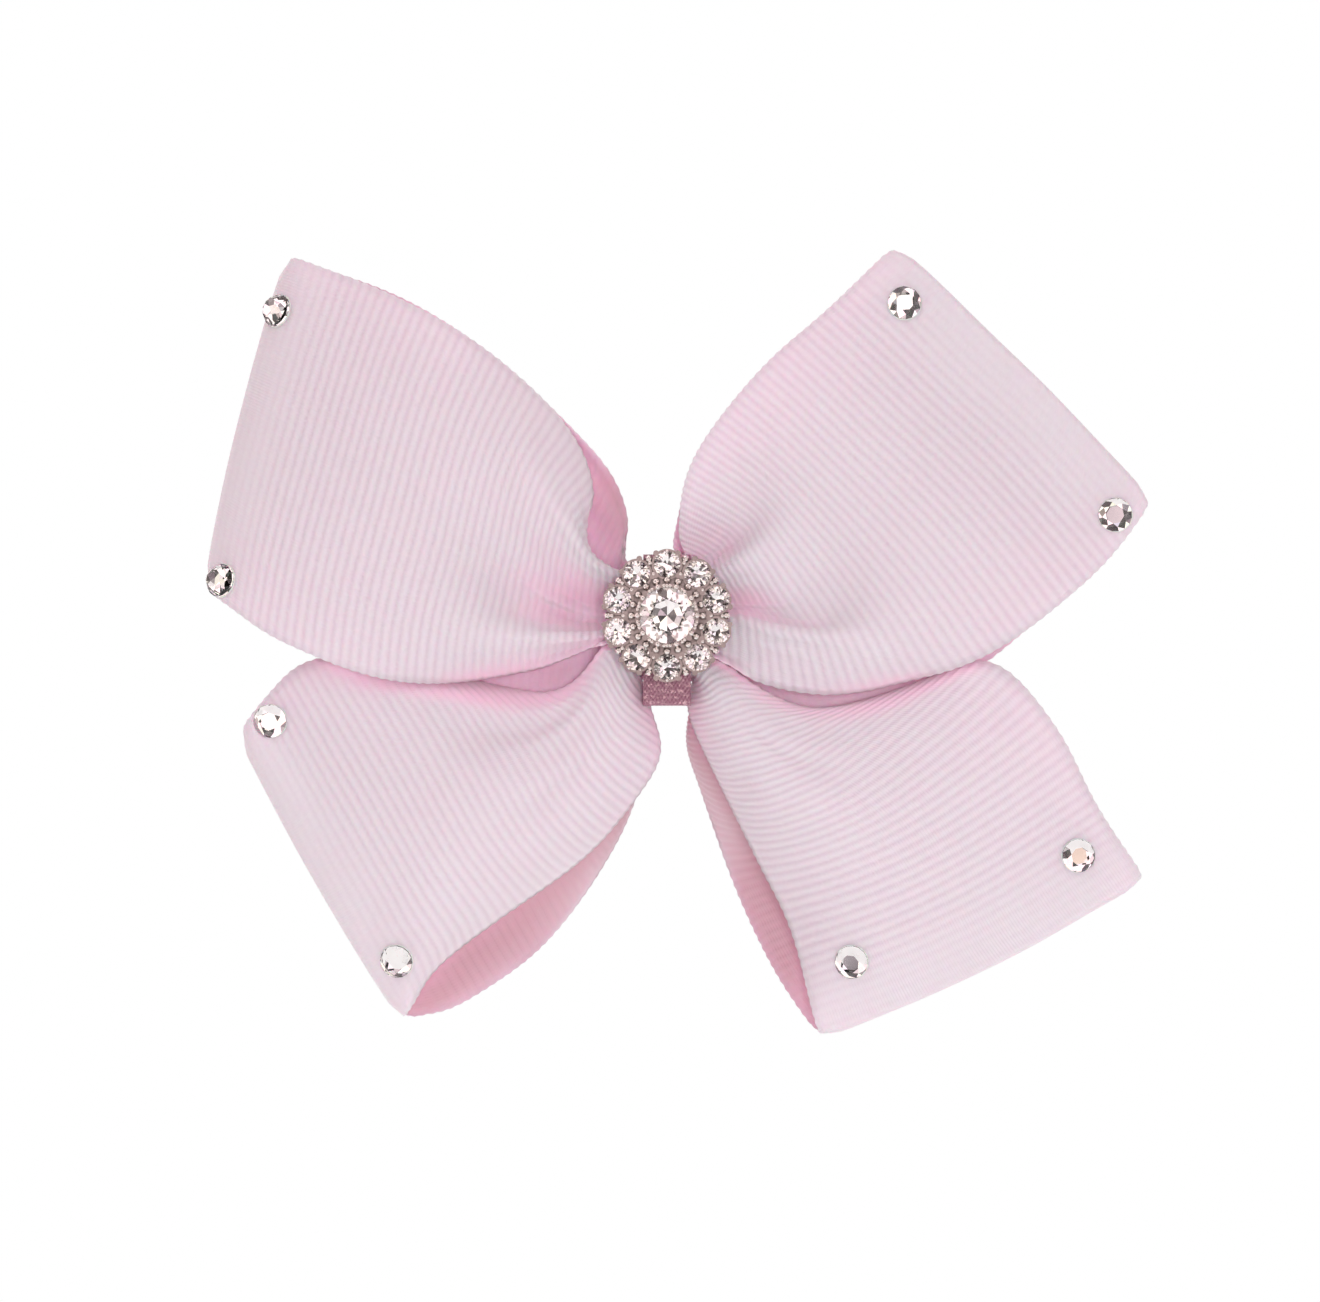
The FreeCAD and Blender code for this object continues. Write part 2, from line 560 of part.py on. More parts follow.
def jaw_arm():
    """Sprung arm: bowed strip, toothed flanges at the nose, ears inside the fixed arm's ears."""
    body = doc.addObject("PartDesign::Body", "jaw_strip")
    metal = "dims.sheet_metal"
    profile = [
        ("dims.jaw_tip", "dims.jaw_tip_face"),
        ("dims.jaw_bend", "dims.jaw_inner_face"),
        ("dims.thumb_bend", "dims.jaw_inner_face"),
        ("dims.thumb_end", "dims.thumb_face"),
        ("dims.thumb_end", f"dims.thumb_face + {metal}"),
        ("dims.thumb_bend", f"dims.jaw_inner_face + {metal}"),
        ("dims.jaw_bend", f"dims.jaw_inner_face + {metal}"),
        ("dims.jaw_tip", f"dims.jaw_tip_face + {metal}"),
    ]
    pad(body, polygon_sketch(body, "XY_Plane", profile), "2 * dims.jaw_half", symmetric=True)

    flange = doc.addObject("PartDesign::Body", "jaw_flange")
    teeth = []
    for index in range(int(dim("teeth_count"))):
        root = f"dims.teeth_start + {index} * dims.tooth_pitch"
        teeth.append((root, "dims.tooth_root"))
        teeth.append((f"{root} + dims.tooth_pitch / 2", "dims.tooth_tip"))
    last = f"dims.teeth_start + {int(dim('teeth_count'))} * dims.tooth_pitch"
    flange_corners = teeth + [
        (last, "dims.tooth_root"),
        (last, f"dims.jaw_inner_face + {metal} / 2"),
        ("dims.jaw_bend", f"dims.jaw_inner_face + {metal} / 2"),
        ("dims.teeth_start", f"dims.jaw_tip_face + {metal} / 2"),
    ]
    sketch = polygon_sketch(flange, "XY_Plane", flange_corners, offset="dims.jaw_ear_inner")
    first = pad(flange, sketch, "dims.ear_thick")
    ears = []
    for side, low in (("upper", "dims.jaw_ear_inner"), ("lower", "-dims.jaw_ear_inner - dims.ear_thick")):
        ears.append(rod(f"{side}_jaw_ear", "dims.ear_radius", "dims.ear_thick",
                        "dims.pivot_along", "dims.pivot_depth", low))
        ears.append(block(f"{side}_jaw_ear_foot", "2 * dims.ear_radius",
                          f"dims.jaw_inner_face - dims.pivot_depth + {metal} / 2",
                          "dims.ear_thick", "dims.pivot_along - dims.ear_radius",
                          "dims.pivot_depth", low))
    mirrored = doc.addObject("Part::Mirroring", "jaw_flange_lower")
    mirrored.Source = flange
    mirrored.Normal = Vector(0, 0, 1)
    whole = fuse("jaw_arm_blank", [body, flange, mirrored] + ears)
    hole = rod("jaw_ear_hole", "dims.pin_radius + dims.pin_room", FULL_HEIGHT,
               "dims.pivot_along", "dims.pivot_depth", "-dims.base_arm_half - 2")
    return cut("clip_jaw_arm", whole, hole)


def pivot_pin():
    """Pin through all four ears, with a peened head outside each."""
    outside = "(dims.base_ear_inner + dims.ear_thick)"
    spot = ("dims.pivot_along", "dims.pivot_depth")
    shaft = rod("pin_shaft", "dims.pin_radius", f"2 * {outside}", *spot, f"-{outside}")
    top = rod("pin_top_head", "dims.pin_head_radius", "dims.pin_head_thick", *spot, outside)
    foot = rod("pin_foot_head", "dims.pin_head_radius", "dims.pin_head_thick", *spot,
               f"-{outside} - dims.pin_head_thick")
    return fuse("clip_pivot_pin", [shaft, top, foot])


def torsion_spring():
    """Close-wound turns on the pin, as one scalloped sleeve, with a straight leg towards each arm."""
    wire = dim("spring_wire")
    radius = dim("spring_radius")
    turns = int(dim("spring_turns"))
    pitch = 0.9 * wire
    neck = math.sqrt(wire ** 2 - pitch ** 2) / 2
    low = -pitch * turns / 2
    edges = []
    for turn in range(turns):
        foot = low + turn * pitch
        for side in (1, -1):
            start = Vector(radius + side * neck, 0, foot)
            crest = Vector(radius + side * wire / 2, 0, foot + pitch / 2)
            end = Vector(radius + side * neck, 0, foot + pitch)
            edges.append(Part.Arc(start, crest, end).toShape())
    for level in (low, -low):
        edges.append(Part.makeLine(Vector(radius - neck, 0, level), Vector(radius + neck, 0, level)))
    profile = Part.Face(Part.Wire(Part.__sortEdges__(edges)))
    sleeve = profile.revolve(Vector(0, 0, 0), Vector(0, 0, 1), 360)
    axis = Vector(dim("pivot_along"), dim("pivot_depth"), 0)
    sleeve.translate(axis)
    leg = dim("spring_leg")
    level = Vector(0, 0, low + pitch / 2)
    base_leg = Part.makeCylinder(wire / 2, leg, axis + Vector(0, -radius, 0) + level, Vector(-1, 0, 0))
    jaw_leg = Part.makeCylinder(wire / 2, leg, axis + Vector(0, radius, 0) - level, Vector(-1, 0, 0))
    return feature("clip_spring", sleeve.fuse([base_leg, jaw_leg]))


clip_base_arm = base_arm()
clip_jaw_arm = jaw_arm()
clip_pivot_pin = pivot_pin()
clip_spring = torsion_spring()
clip_liner = block("clip_liner", "dims.liner_right - dims.base_arm_left - 1", "dims.liner_thick",
                   "2 * dims.liner_half", "dims.base_arm_left + 1", "dims.base_arm_face",
                   "-dims.liner_half")
arm_front = "dims.base_arm_face - dims.sheet_metal"
pads = [
    block(f"{side}_glue_pad", "dims.glue_pad_long", f"{arm_front} - dims.waist_rear",
          "2 * dims.glue_pad_half", start, "dims.waist_rear", "-dims.glue_pad_half")
    for side, start in (("left", "-1 - dims.glue_pad_long"), ("right", "1"))]
clip_glue = group("clip_glue", pads)


# ---------------------------------------------------------------- names, checks and files
pieces = {
    "front_ribbon": front_ribbon,
    "rear_ribbon": rear_ribbon,
    "cinch_thread": cinch_thread,
    "centre_wrap": centre_wrap,
    "cluster_glue": cluster_glue,
    "cluster_base": cluster_base,
    "centre_crystal": centre_crystal,
    "corner_glue": corner_glue,
    "clip_glue": clip_glue,
    "clip_base_arm": clip_base_arm,
    "clip_liner": clip_liner,
    "clip_jaw_arm": clip_jaw_arm,
    "clip_pivot_pin": clip_pivot_pin,
    "clip_spring": clip_spring,
}
for index, stone in enumerate(ring_crystals, start=1):
    pieces[f"ring_crystal_{index:02d}"] = stone
for index, stone in enumerate(corner_crystals, start=1):
    pieces[f"corner_crystal_{index}"] = stone

doc.recompute()
for item in doc.Objects:
    if "Invalid" in item.State or "Error" in item.State:
        raise RuntimeError(f"{item.Name} failed: {item.State}")
for label, item in pieces.items():
    item.Label = label
    if item.Shape.isNull() or not item.Shape.isValid() or not item.Shape.Solids:
        raise RuntimeError(f"{label} has no valid solid")

os.makedirs("parts", exist_ok=True)
for label, item in pieces.items():
    item.Shape.exportStep(f"parts/{label}.step")
    box = item.Shape.BoundBox
    print(f"{label:20s} solids {len(item.Shape.Solids)} volume {item.Shape.Volume:8.1f} mm3"
          f"  X {box.XMin:6.1f}..{box.XMax:6.1f}  Y {box.YMin:6.1f}..{box.YMax:6.1f}"
          f"  Z {box.ZMin:6.1f}..{box.ZMax:6.1f}")
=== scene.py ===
"""Looks of the hair bow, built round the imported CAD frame. Lengths in this file are millimetres
until a mesh is made, where MM turns them into metres."""
import json
from math import cos, hypot, pi, sin, sqrt, tau

import bmesh
import bpy
import numpy as np
from mathutils import Matrix, Vector
from mathutils.bvhtree import BVHTree


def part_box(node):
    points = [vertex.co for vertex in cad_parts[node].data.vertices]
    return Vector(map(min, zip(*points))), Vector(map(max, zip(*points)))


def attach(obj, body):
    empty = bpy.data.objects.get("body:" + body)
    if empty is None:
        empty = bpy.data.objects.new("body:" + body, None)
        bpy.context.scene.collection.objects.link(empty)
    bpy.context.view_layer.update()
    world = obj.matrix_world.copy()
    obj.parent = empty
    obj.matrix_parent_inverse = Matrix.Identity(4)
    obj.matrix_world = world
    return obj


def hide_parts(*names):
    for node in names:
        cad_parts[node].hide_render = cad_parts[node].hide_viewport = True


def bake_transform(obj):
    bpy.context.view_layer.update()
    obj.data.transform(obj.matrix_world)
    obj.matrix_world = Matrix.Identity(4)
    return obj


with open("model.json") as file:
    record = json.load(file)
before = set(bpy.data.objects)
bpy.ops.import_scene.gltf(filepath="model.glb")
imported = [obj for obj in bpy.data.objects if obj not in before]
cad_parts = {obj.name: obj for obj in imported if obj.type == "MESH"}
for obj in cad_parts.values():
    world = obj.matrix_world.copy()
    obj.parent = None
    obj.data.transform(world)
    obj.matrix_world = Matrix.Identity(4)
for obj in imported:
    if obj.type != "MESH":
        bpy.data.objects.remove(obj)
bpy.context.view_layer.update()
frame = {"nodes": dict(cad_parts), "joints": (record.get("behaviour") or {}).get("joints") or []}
MM = 0.001


# ---- ribbon facts
RIBBON_WIDTH = 38.1
RIBBON_HALF_THICK = 0.2
RIB_PITCH = 1.0
RIB_HEIGHT = 0.13
YARN_PITCH = 0.32
WAIST_LENGTH = 6.0  # the pinched stretch between a ribbon's two loops

# Each loop is lofted from lines that run from the waist to the fold: (X, Z, Y) points, where a more
# negative Y is nearer the viewer. A line's station is its place across the ribbon, from the
# selvedge that is uppermost at the waist (0) to the other one (1). The gathers open out to the full
# width over the length given, and the pleats are flat after theirs.
LOOPS = {}
LOOPS["upper_left"] = {
    "length": 55, "gathers": 20, "pleats": 20,
    "fold": [(-40.4, 38.4, -3.8), (-48.8, 3, -8.6)], "fold_radius": (3.2, 4.6), "fold_bow": 0.7,
    "front": {
        0: [(-3, 4, -8), (-6, 4.9, -9), (-8.4, 6.6, -9.8), (-8.9, 9, -10.4), (-7.8, 13.1, -10.8),
            (-10.1, 19.1, -10.8), (-17.7, 27, -10), (-27.9, 33.4, -8)],
        0.24: [(-3, 3.4, -10.3), (-6, 4.5, -11.4), (-8.4, 5.9, -12.6), (-11, 9.6, -13.6),
            (-15, 14.5, -13.8), (-24, 21, -12.6), (-34, 26.5, -10.4)],
        0.56: [(-3, 0.6, -6.8), (-7.1, -0.1, -6.9), (-9.5, 0.4, -7.5), (-11, 1, -8.3), (-13.4, 2.2, -9.6),
            (-18, 5.4, -11.2), (-26, 9.4, -12.4), (-36, 13.5, -12.2)],
        0.8: [(-3, -1, -10), (-7, -1.8, -11.2), (-11, -2, -12.8), (-17, -2, -14.4), (-26, -0.6, -15.2),
            (-38, 3.2, -14)],
        1: [(-3, -2.4, -8.4), (-7.6, -3.2, -9), (-11, -4.6, -9.8), (-14.4, -5.7, -10.6), (-22.8, -7, -12.2),
            (-31.3, -6.3, -12.8), (-41.3, -2.3, -12.8)],
    },
    "back": {
        0: [(-3, 4.6, -6.6), (-4.6, 6.4, -6.4), (-4.2, 10.5, -6), (-6.3, 15.5, -5.2), (-12.2, 21.9, -4.2),
            (-20, 28.8, -3.6), (-28.6, 34.2, -3.6)],
        0.5: [(-3, 1.4, -6), (-10, 4, -4.6), (-20, 10, -3.4), (-32, 16, -3.6)],
        1: [(-3, -2.2, -7.2), (-5.4, -4.4, -7.6), (-8, -7.4, -8), (-12, -9.8, -8), (-18, -10.2, -7.8),
            (-26, -8, -7.6), (-34, -4.6, -8), (-41.6, -1.4, -9)],
    },
}
LOOPS["upper_right"] = {
    "length": 54, "gathers": 20, "pleats": 20,
    "fold": [(24.1, 39.2, -9.6), (50.9, 12, -13.4)], "fold_radius": (1.1, 1.3), "fold_bow": 0.3,
    "front": {
        0: [(3, 4.9, -8.8), (1.9, 6.6, -9.4), (1.3, 9.6, -10.8), (2.7, 16.6, -13), (9.8, 26.1, -13.4),
            (16.1, 31.7, -12)],
        0.16: [(3, 4.3, -7.4), (3.4, 5.6, -7.8), (5.7, 7.6, -9), (8, 10.4, -10.2), (11, 16, -10.8),
            (18, 25, -11.2)],
        0.36: [(3, 2.6, -10.2), (5.6, 4.4, -11.6), (8.8, 6.2, -12.6), (12.5, 8.8, -12.6), (19, 14, -11.8),
            (28, 21, -11.4)],
        0.56: [(3, 0.8, -7.4), (6.9, 1.2, -8.6), (11.2, 0.9, -10.4), (13.8, 1.2, -11.4), (21, 4.6, -12),
            (31, 11, -12.2)],
        0.78: [(3, -1.2, -10), (7.5, -0.7, -11.2), (12, -2, -13), (20, -2.6, -14.4), (30, 1, -14.6),
            (40, 8, -13.6)],
        1: [(3, -3.6, -7.8), (6.1, -4.9, -8.6), (10.1, -7.1, -10), (16.8, -8.2, -11.4), (23.8, -7.2, -12.4),
            (34.3, -3.7, -13), (44.8, 4.6, -12.9)],
    },
    "back": {
        0: [(3, 5.1, -6.8), (0.9, 6.6, -6.6), (1, 9.4, -6.4), (3.3, 16.4, -5.8), (10.2, 25.2, -5.4),
            (16.4, 30.9, -6)],
        0.5: [(3, 1, -6), (12, 4, -5), (22, 11, -4.6), (31, 18, -6)],
        1: [(3, -3.4, -7.4), (6, -6.4, -8), (10, -9.8, -8.4), (16, -11.6, -8.4), (23.8, -10.4, -8.6),
            (34, -5, -9.4), (44.2, 4.4, -11.2)],
    },
}
LOOPS["lower_left"] = {
    "length": 53, "gathers": 24, "pleats": 4,
    "fold": [(-45.5, -12.6, -6.2), (-28.2, -42.9, -5.6)], "fold_radius": (2.6, 3), "fold_bow": 0.5,
    "front": {
        0: [(-3, -2.6, -8.4), (-6.5, -3.1, -10.6), (-9.1, -6.5, -10.2), (-12.4, -8.4, -9.4),
            (-18, -7.4, -8.6), (-28, -5, -8), (-37.8, -4.3, -7.6), (-42.3, -8.2, -7.2)],
        0.4: [(-3, -3.4, -10.2), (-5.8, -4.6, -11.4), (-8, -8.6, -12.4), (-12, -13, -12.8),
            (-20, -16.6, -13), (-30, -21, -12)],
        0.72: [(-3, -5, -9.6), (-4.4, -8.4, -11.8), (-5.2, -12, -12.8), (-8.6, -17.2, -13.4),
            (-18, -25.2, -12.8)],
        1: [(-3, -6.4, -7.2), (-2.2, -8.2, -7.6), (-1.2, -11.6, -8.8), (-0.5, -13.8, -9.8),
            (-1.9, -17.2, -11.2), (-8.4, -25.3, -12.4), (-18.1, -32.4, -12), (-24.6, -37.3, -9.6)],
    },
    "back": {
        0: [(-3, -2.8, -6.4), (-7, -5.4, -5.4), (-14, -8.4, -4.6), (-26, -6.8, -4.4), (-37, -5.2, -5.2),
            (-42, -8.6, -6)],
        0.5: [(-3, -4.8, -6), (-8, -12, -3.8), (-18, -18, -2.4), (-28, -23, -2.8)],
        1: [(-3, -6.8, -6.2), (-2.6, -10, -5.2), (-2.4, -16, -3.4), (-5.8, -25, -2), (-13.3, -35.4, -1.8),
            (-22.6, -41.8, -3.2)],
    },
}
LOOPS["lower_right"] = {
    "length": 55, "gathers": 26, "pleats": 4,
    "fold": [(50.7, -27.9, -7.4), (16.2, -44.8, -7.4)], "fold_radius": (1.3, 1.3), "fold_bow": 0.4,
    "front": {
        0: [(3, -4, -8.4), (5.9, -4.9, -9.9), (10.6, -8.2, -10.2), (16, -10.2, -9.6), (21.4, -8.9, -9),
            (28.5, -6.2, -8.4), (34.6, -4.3, -8), (41.3, -12, -7.6), (44.8, -19, -7.2)],
        0.4: [(3, -5, -10.4), (6.6, -7.8, -11.8), (13, -12.6, -12.8), (22, -17.4, -13)],
        0.74: [(3, -6, -9.8), (4.8, -9.6, -11.6), (8.8, -14.6, -12.8), (15, -22.4, -13.2)],
        1: [(3, -6.6, -7.2), (2.2, -8.4, -7.8), (2.6, -11.2, -8.8), (5, -16.5, -10), (9.8, -26.3, -10.8),
            (13.3, -33.4, -9.6)],
    },
    "back": {
        0: [(3, -4.6, -6.4), (9, -6.8, -5.4), (18, -7, -4.6), (27, -5.8, -4.6), (35.4, -5, -5),
            (41.8, -12.6, -5.2), (45.6, -20, -5.4)],
        0.5: [(3, -5.8, -6), (10, -14, -3.4), (20, -24, -2.4)],
        1: [(3, -7, -6.2), (2.1, -13.2, -4.6), (3.6, -18.4, -3.6), (7.7, -29.9, -2.4), (11.5, -37.9, -2.8)],
    },
}
RINGS = {"front": ("upper_left", "upper_right"), "rear": ("lower_left", "lower_right")}


# ---- curves
def smoothstep(value):
    value = np.clip(value, 0.0, 1.0)
    return value * value * (3 - 2 * value)


def catmull(points, position):
    """Points of a Catmull-Rom curve through the given rows, at fractional row numbers."""
    points = np.asarray(points, float)
    start = np.clip(np.floor(position).astype(int), 0, len(points) - 2)
    t = (np.asarray(position, float) - start).reshape((-1,) + (1,) * (points.ndim - 1))
    extended = np.concatenate([[2 * points[0] - points[1]], points, [2 * points[-1] - points[-2]]])
    before, p1, p2, after = (extended[start + k] for k in range(4))
    return 0.5 * (2 * p1 + (p2 - before) * t + (2 * before - 5 * p1 + 4 * p2 - after) * t ** 2
                  + (3 * p1 - before - 3 * p2 + after) * t ** 3)


def catmull_grid(grid, rows, columns):
    """Points of a smooth surface through a grid of points, at fractional rows and columns."""
    return np.swapaxes(catmull(np.swapaxes(catmull(grid, rows), 0, 1), columns), 0, 1)


def spaced(points, last, dense_count, spacing):
    """Points along the smooth curve as far as row number last. From the curve's length, spacing gives
    their distances along it."""
    dense = catmull(points, np.linspace(0, last, dense_count))
    run = np.concatenate([[0], np.cumsum(np.linalg.norm(np.diff(dense, axis=0), axis=1))])
    return np.stack([np.interp(spacing(run[-1]), run, column) for column in dense.T], axis=1)


def resample(points, count):
    """The smooth curve through the points, as count + 1 points evenly spaced along it."""
    return spaced(points, len(points) - 1, 40 * len(points), lambda length: np.linspace(0, length, count + 1))


# ---- lofting a loop's two layers
CELL = 1.25  # size of a cloth cell while a ribbon is being relaxed
WIDTH_CELLS = 30
WAIST_EASE = 2.5  # how far a line's spare length gathers up towards the waist, as a power


def slacken(points, beyond, cells):
    """Nodes along a line from the waist: a cell apart near the fold, and closer or wider at the waist.
    The line heads on towards the point beyond its end."""
    count = np.arange(cells, -1, -1)

    def spacing(length):
        return length - (CELL * count + (length - CELL * cells) * (count / cells) ** WAIST_EASE)
    return spaced(np.vstack([points, beyond]), len(points) - 1, 400, spacing)


def fold_points(loop, station, last, side):
    """The fold at a station, and the points where it runs into a line's own layer, which is in front
    of it (side -1) or behind it (1), and into the other one. They lie towards the line's last point."""
    top, foot = (np.array(corner) for corner in loop["fold"])
    edge = foot[:2] - top[:2]
    outward = np.array([-edge[1], edge[0]]) / np.linalg.norm(edge)
    outward *= np.sign(outward @ (0.5 * (top + foot))[:2])
    radius = np.interp(station, (0, 1), loop["fold_radius"])
    crest = top + (foot - top) * station
    crest[:2] += outward * loop["fold_bow"] * 4 * station * (1 - station)
    inward = np.array(last)[:2] - crest[:2]
    inward *= radius / np.linalg.norm(inward)
    return crest, crest + np.array([*inward, side * radius]), crest + np.array([*inward, -side * radius])


def loft(loop, name):
    """One layer through its lines, as rows of nodes from the waist to the fold, in X, Y, Z."""
    cells = int(round(loop["length"] / CELL))
    lines = []
    for station, points in loop[name].items():
        crest, before, beyond = fold_points(loop, station, points[-1], -1 if name == "front" else 1)
        lines.append(slacken(np.vstack([points, before, crest]), beyond, cells))
    places = np.interp(np.linspace(0, 1, WIDTH_CELLS + 1), list(loop[name]), np.arange(len(lines)))
    grid = catmull(np.stack(lines), places)
    return np.swapaxes(grid, 0, 1)[..., [0, 2, 1]]


# ---- relaxing a loop as cloth
STEPS = 300
THREAD_PASSES = 3
SLACK = 1.01  # thread length along the ribbon over that of the loft
BIAS_POWER = 0.7  # how much of the width's opening the bias threads follow
BIAS_STRENGTH = 0.15
STIFF_ALONG = 0.16
STIFF_ACROSS = 0.24
PUFF = 0.028  # how far each layer is blown out in the first step, fading to none
PARTING = 2.4  # the gap that opens between a loop's layers, over the least one
LEAST_PARTING = 0.9
IRON_PASSES = 3
IRON_STRENGTH = 0.25
IRON_REACH = 4.0
IRON_FROM_FOLD = 3.0
WAIST_HOLD = 0.5  # how firmly cloth is held to its loft about the waist, and over what reach
WAIST_REACH = 12.0
BACK_HOLD = 0.6  # the back layer's share of that hold
FOLD_HOLD = 0.3
FOLD_REACH = 6.0
CREST_HOLD = 0.6
OUTLINE_HOLD = 0.5
PUFF_FROM_WAIST = 16.0
PUFF_FROM_FOLD = 14.0
PLEAT_STIFFNESS = 0.3  # over that of flat cloth
CREASE = 0.8  # how much of the stiffness the fold has lost, and over what reach
CREASE_REACH = 1.6
PARTED_FROM_WAIST = 3.0
PARTED_FROM_FOLD = 5.0
CLOSED_FROM_FOLD = 3.0
CORNER_ROUNDING = 0.75  # how far the tip of a loop's corner is drawn in, and over what reach
CORNER_REACH = 1.5


def lengths(low, high):
    return np.linalg.norm(high - low, axis=2, keepdims=True)


def bend_along(cloth):
    return cloth[:-2] - 2 * cloth[1:-1] + cloth[2:]


def bend_across(cloth):
    return cloth[:, :-2] - 2 * cloth[:, 1:-1] + cloth[:, 2:]


def bell(distance, reach):
    """A weight that is 1 at no distance and falls away over the reach."""
    return np.exp(-(distance / reach) ** 2)


def pull(cloth, free, low, high, rest, strength=1.0):
    """Move two grids of the cloth's nodes so that each pair is its rest length apart."""
    gap = cloth[high] - cloth[low]
    length = np.linalg.norm(gap, axis=2, keepdims=True) + 1e-9
    move = strength * (length - rest) / length * gap / np.maximum(free[low] + free[high], 1e-9)
    cloth[low] += free[low] * move
    cloth[high] -= free[high] * move


def pairs(count):
    """Every second pair of neighbours in a row, as two slices, and then the pairs between those."""
    return [(slice(phase, count - 1, 2), slice(phase + 1, count, 2)) for phase in range(2)]


def hold_lengths(cloth, free, along, across, bias):
    """One pass over all the threads of the cloth: along it, across it and on the bias."""
    rows, columns = cloth.shape[:2]
    every, left, right = slice(None), slice(0, -1), slice(1, None)
    for low, high in pairs(rows):
        pull(cloth, free, (low, every), (high, every), along[low])
    for low, high in pairs(columns):
        pull(cloth, free, (every, low), (every, high), across[:, low])
    for low, high in pairs(rows):
        for rest, side, other in zip(bias, (left, right), (right, left)):
            pull(cloth, free, (low, side), (high, other), rest[low], BIAS_STRENGTH)


def thread_lengths(goal, opened):
    """Rest lengths of the threads: the loft's own, with the width let out where the gathers open."""
    gathered = lengths(goal[:, :-1], goal[:, 1:])
    across = gathered + (RIBBON_WIDTH / WIDTH_CELLS - gathered) * opened
    along = SLACK * lengths(goal[:-1], goal[1:])
    let_out = across / gathered
    stretched = (0.5 * (let_out[:-1] + let_out[1:])) ** BIAS_POWER
    bias = [stretched * lengths(goal[:-1, :-1], goal[1:, 1:]),
            stretched * lengths(goal[:-1, 1:], goal[1:, :-1])]
    return along, across, bias


def closest(spots, curve):
    """For each spot in the XZ plane, the nearest point of a curve."""
    away = np.linalg.norm(spots[:, None] - curve[None], axis=2)
    return curve[away.argmin(axis=1)]


def iron(cloth, from_pleats, from_fold):
    """Press out what ripples are left beyond the pleats, and draw in the tips of the loop's corners."""
    across = IRON_STRENGTH * smoothstep(from_pleats / IRON_REACH)
    along = (across * smoothstep((from_fold - IRON_FROM_FOLD) / IRON_REACH))[1:-1]
    for _ in range(IRON_PASSES):
        cloth[:, 1:-1] += across * bend_across(cloth)
        cloth[1:-1] += along * bend_along(cloth)
    column = np.arange(cloth.shape[1])
    from_selvedge = np.minimum(column, column[-1] - column) * CELL
    near_corner = np.exp(-(from_fold[:, 0] ** 2 + from_selvedge ** 2) / CORNER_REACH ** 2)
    inward = cloth[:, cloth.shape[1] // 2].mean(axis=0) - cloth
    inward[..., 1] = 0
    inward /= np.linalg.norm(inward, axis=2, keepdims=True)
    cloth += CORNER_ROUNDING * near_corner[..., None] * inward


def relax(loop, obstacle):
    """Relax a loop to cloth that keeps its length and width, held at its waist, fold and selvedges."""
    front, back = loft(loop, "front"), loft(loop, "back")
    goal = np.concatenate([front, back[-2::-1]])
    rows = len(goal)
    middle = len(front) - 1
    row = np.arange(rows)[:, None, None]
    from_waist = np.minimum(row, rows - 1 - row) * CELL
    from_fold = np.abs(row - middle) * CELL
    opened = smoothstep(from_waist / loop["gathers"])
    flattened = smoothstep(from_waist / loop["pleats"]) ** 2
    threads = thread_lengths(goal, opened)
    free = np.ones(goal.shape[:2] + (1,))
    free[0] = free[-1] = 0

    outlines = [(part, column, resample(layer[:, column][:, [0, 2]], 4 * len(layer)))
                for layer, part in ((front, slice(1, middle)), (back, slice(middle + 1, rows - 1)))
                for column in (0, -1)]
    in_front = row <= middle
    keep = WAIST_HOLD * bell(from_waist, WAIST_REACH) * np.where(in_front, 1.0, BACK_HOLD)
    keep = keep + FOLD_HOLD * bell(from_fold, FOLD_REACH)
    puff = PUFF * smoothstep(from_waist / PUFF_FROM_WAIST) * smoothstep(from_fold / PUFF_FROM_FOLD)
    puff = np.where(in_front, -puff, puff)
    stiff_along = PLEAT_STIFFNESS + (1 - PLEAT_STIFFNESS) * opened[1:-1]
    stiff_along = stiff_along * (1 - CREASE * bell(from_fold, CREASE_REACH)[1:-1])
    apart = PARTING * smoothstep(from_fold / PARTED_FROM_FOLD) * smoothstep(from_waist / PARTED_FROM_WAIST)
    apart = ((apart + LEAST_PARTING) * smoothstep(from_fold / CLOSED_FROM_FOLD))[:middle, :, 0]
    cloth = goal.copy()
    for step in range(STEPS):
        cloth[..., 1:2] += puff * (1 - step / STEPS)
        for _ in range(THREAD_PASSES):
            hold_lengths(cloth, free, *threads)
        cloth[1:-1] += STIFF_ALONG * stiff_along * bend_along(cloth)
        cloth[:, 1:-1] += STIFF_ACROSS * flattened * bend_across(cloth)
        cloth += keep * (goal - cloth)
        for part, column, outline in outlines:
            spots = cloth[part, column][:, [0, 2]]
            cloth[part, column, ::2] += OUTLINE_HOLD * (closest(spots, outline) - spots)
        cloth[middle] += CREST_HOLD * (goal[middle] - cloth[middle])
        near, far = cloth[:middle, :, 1], cloth[:middle:-1, :, 1]
        short = np.maximum(apart - (far - near), 0)
        near -= 0.5 * short
        far += 0.5 * short
        obstacle(cloth, middle)
        cloth[0], cloth[-1] = goal[0], goal[-1]
    iron(cloth, from_waist - loop["pleats"], from_fold)
    return cloth, middle


# ---- keeping layers apart
LAYER_GAP = 0.8
MAP_CELL = 0.5
MAP_HALF = 130
NOWHERE = 1e6


def map_cells(points):
    """Which cell of a depth map each point falls in."""
    cells = np.floor(points[..., [0, 2]] / MAP_CELL).astype(int) + MAP_HALF
    return cells[..., 0], cells[..., 1]


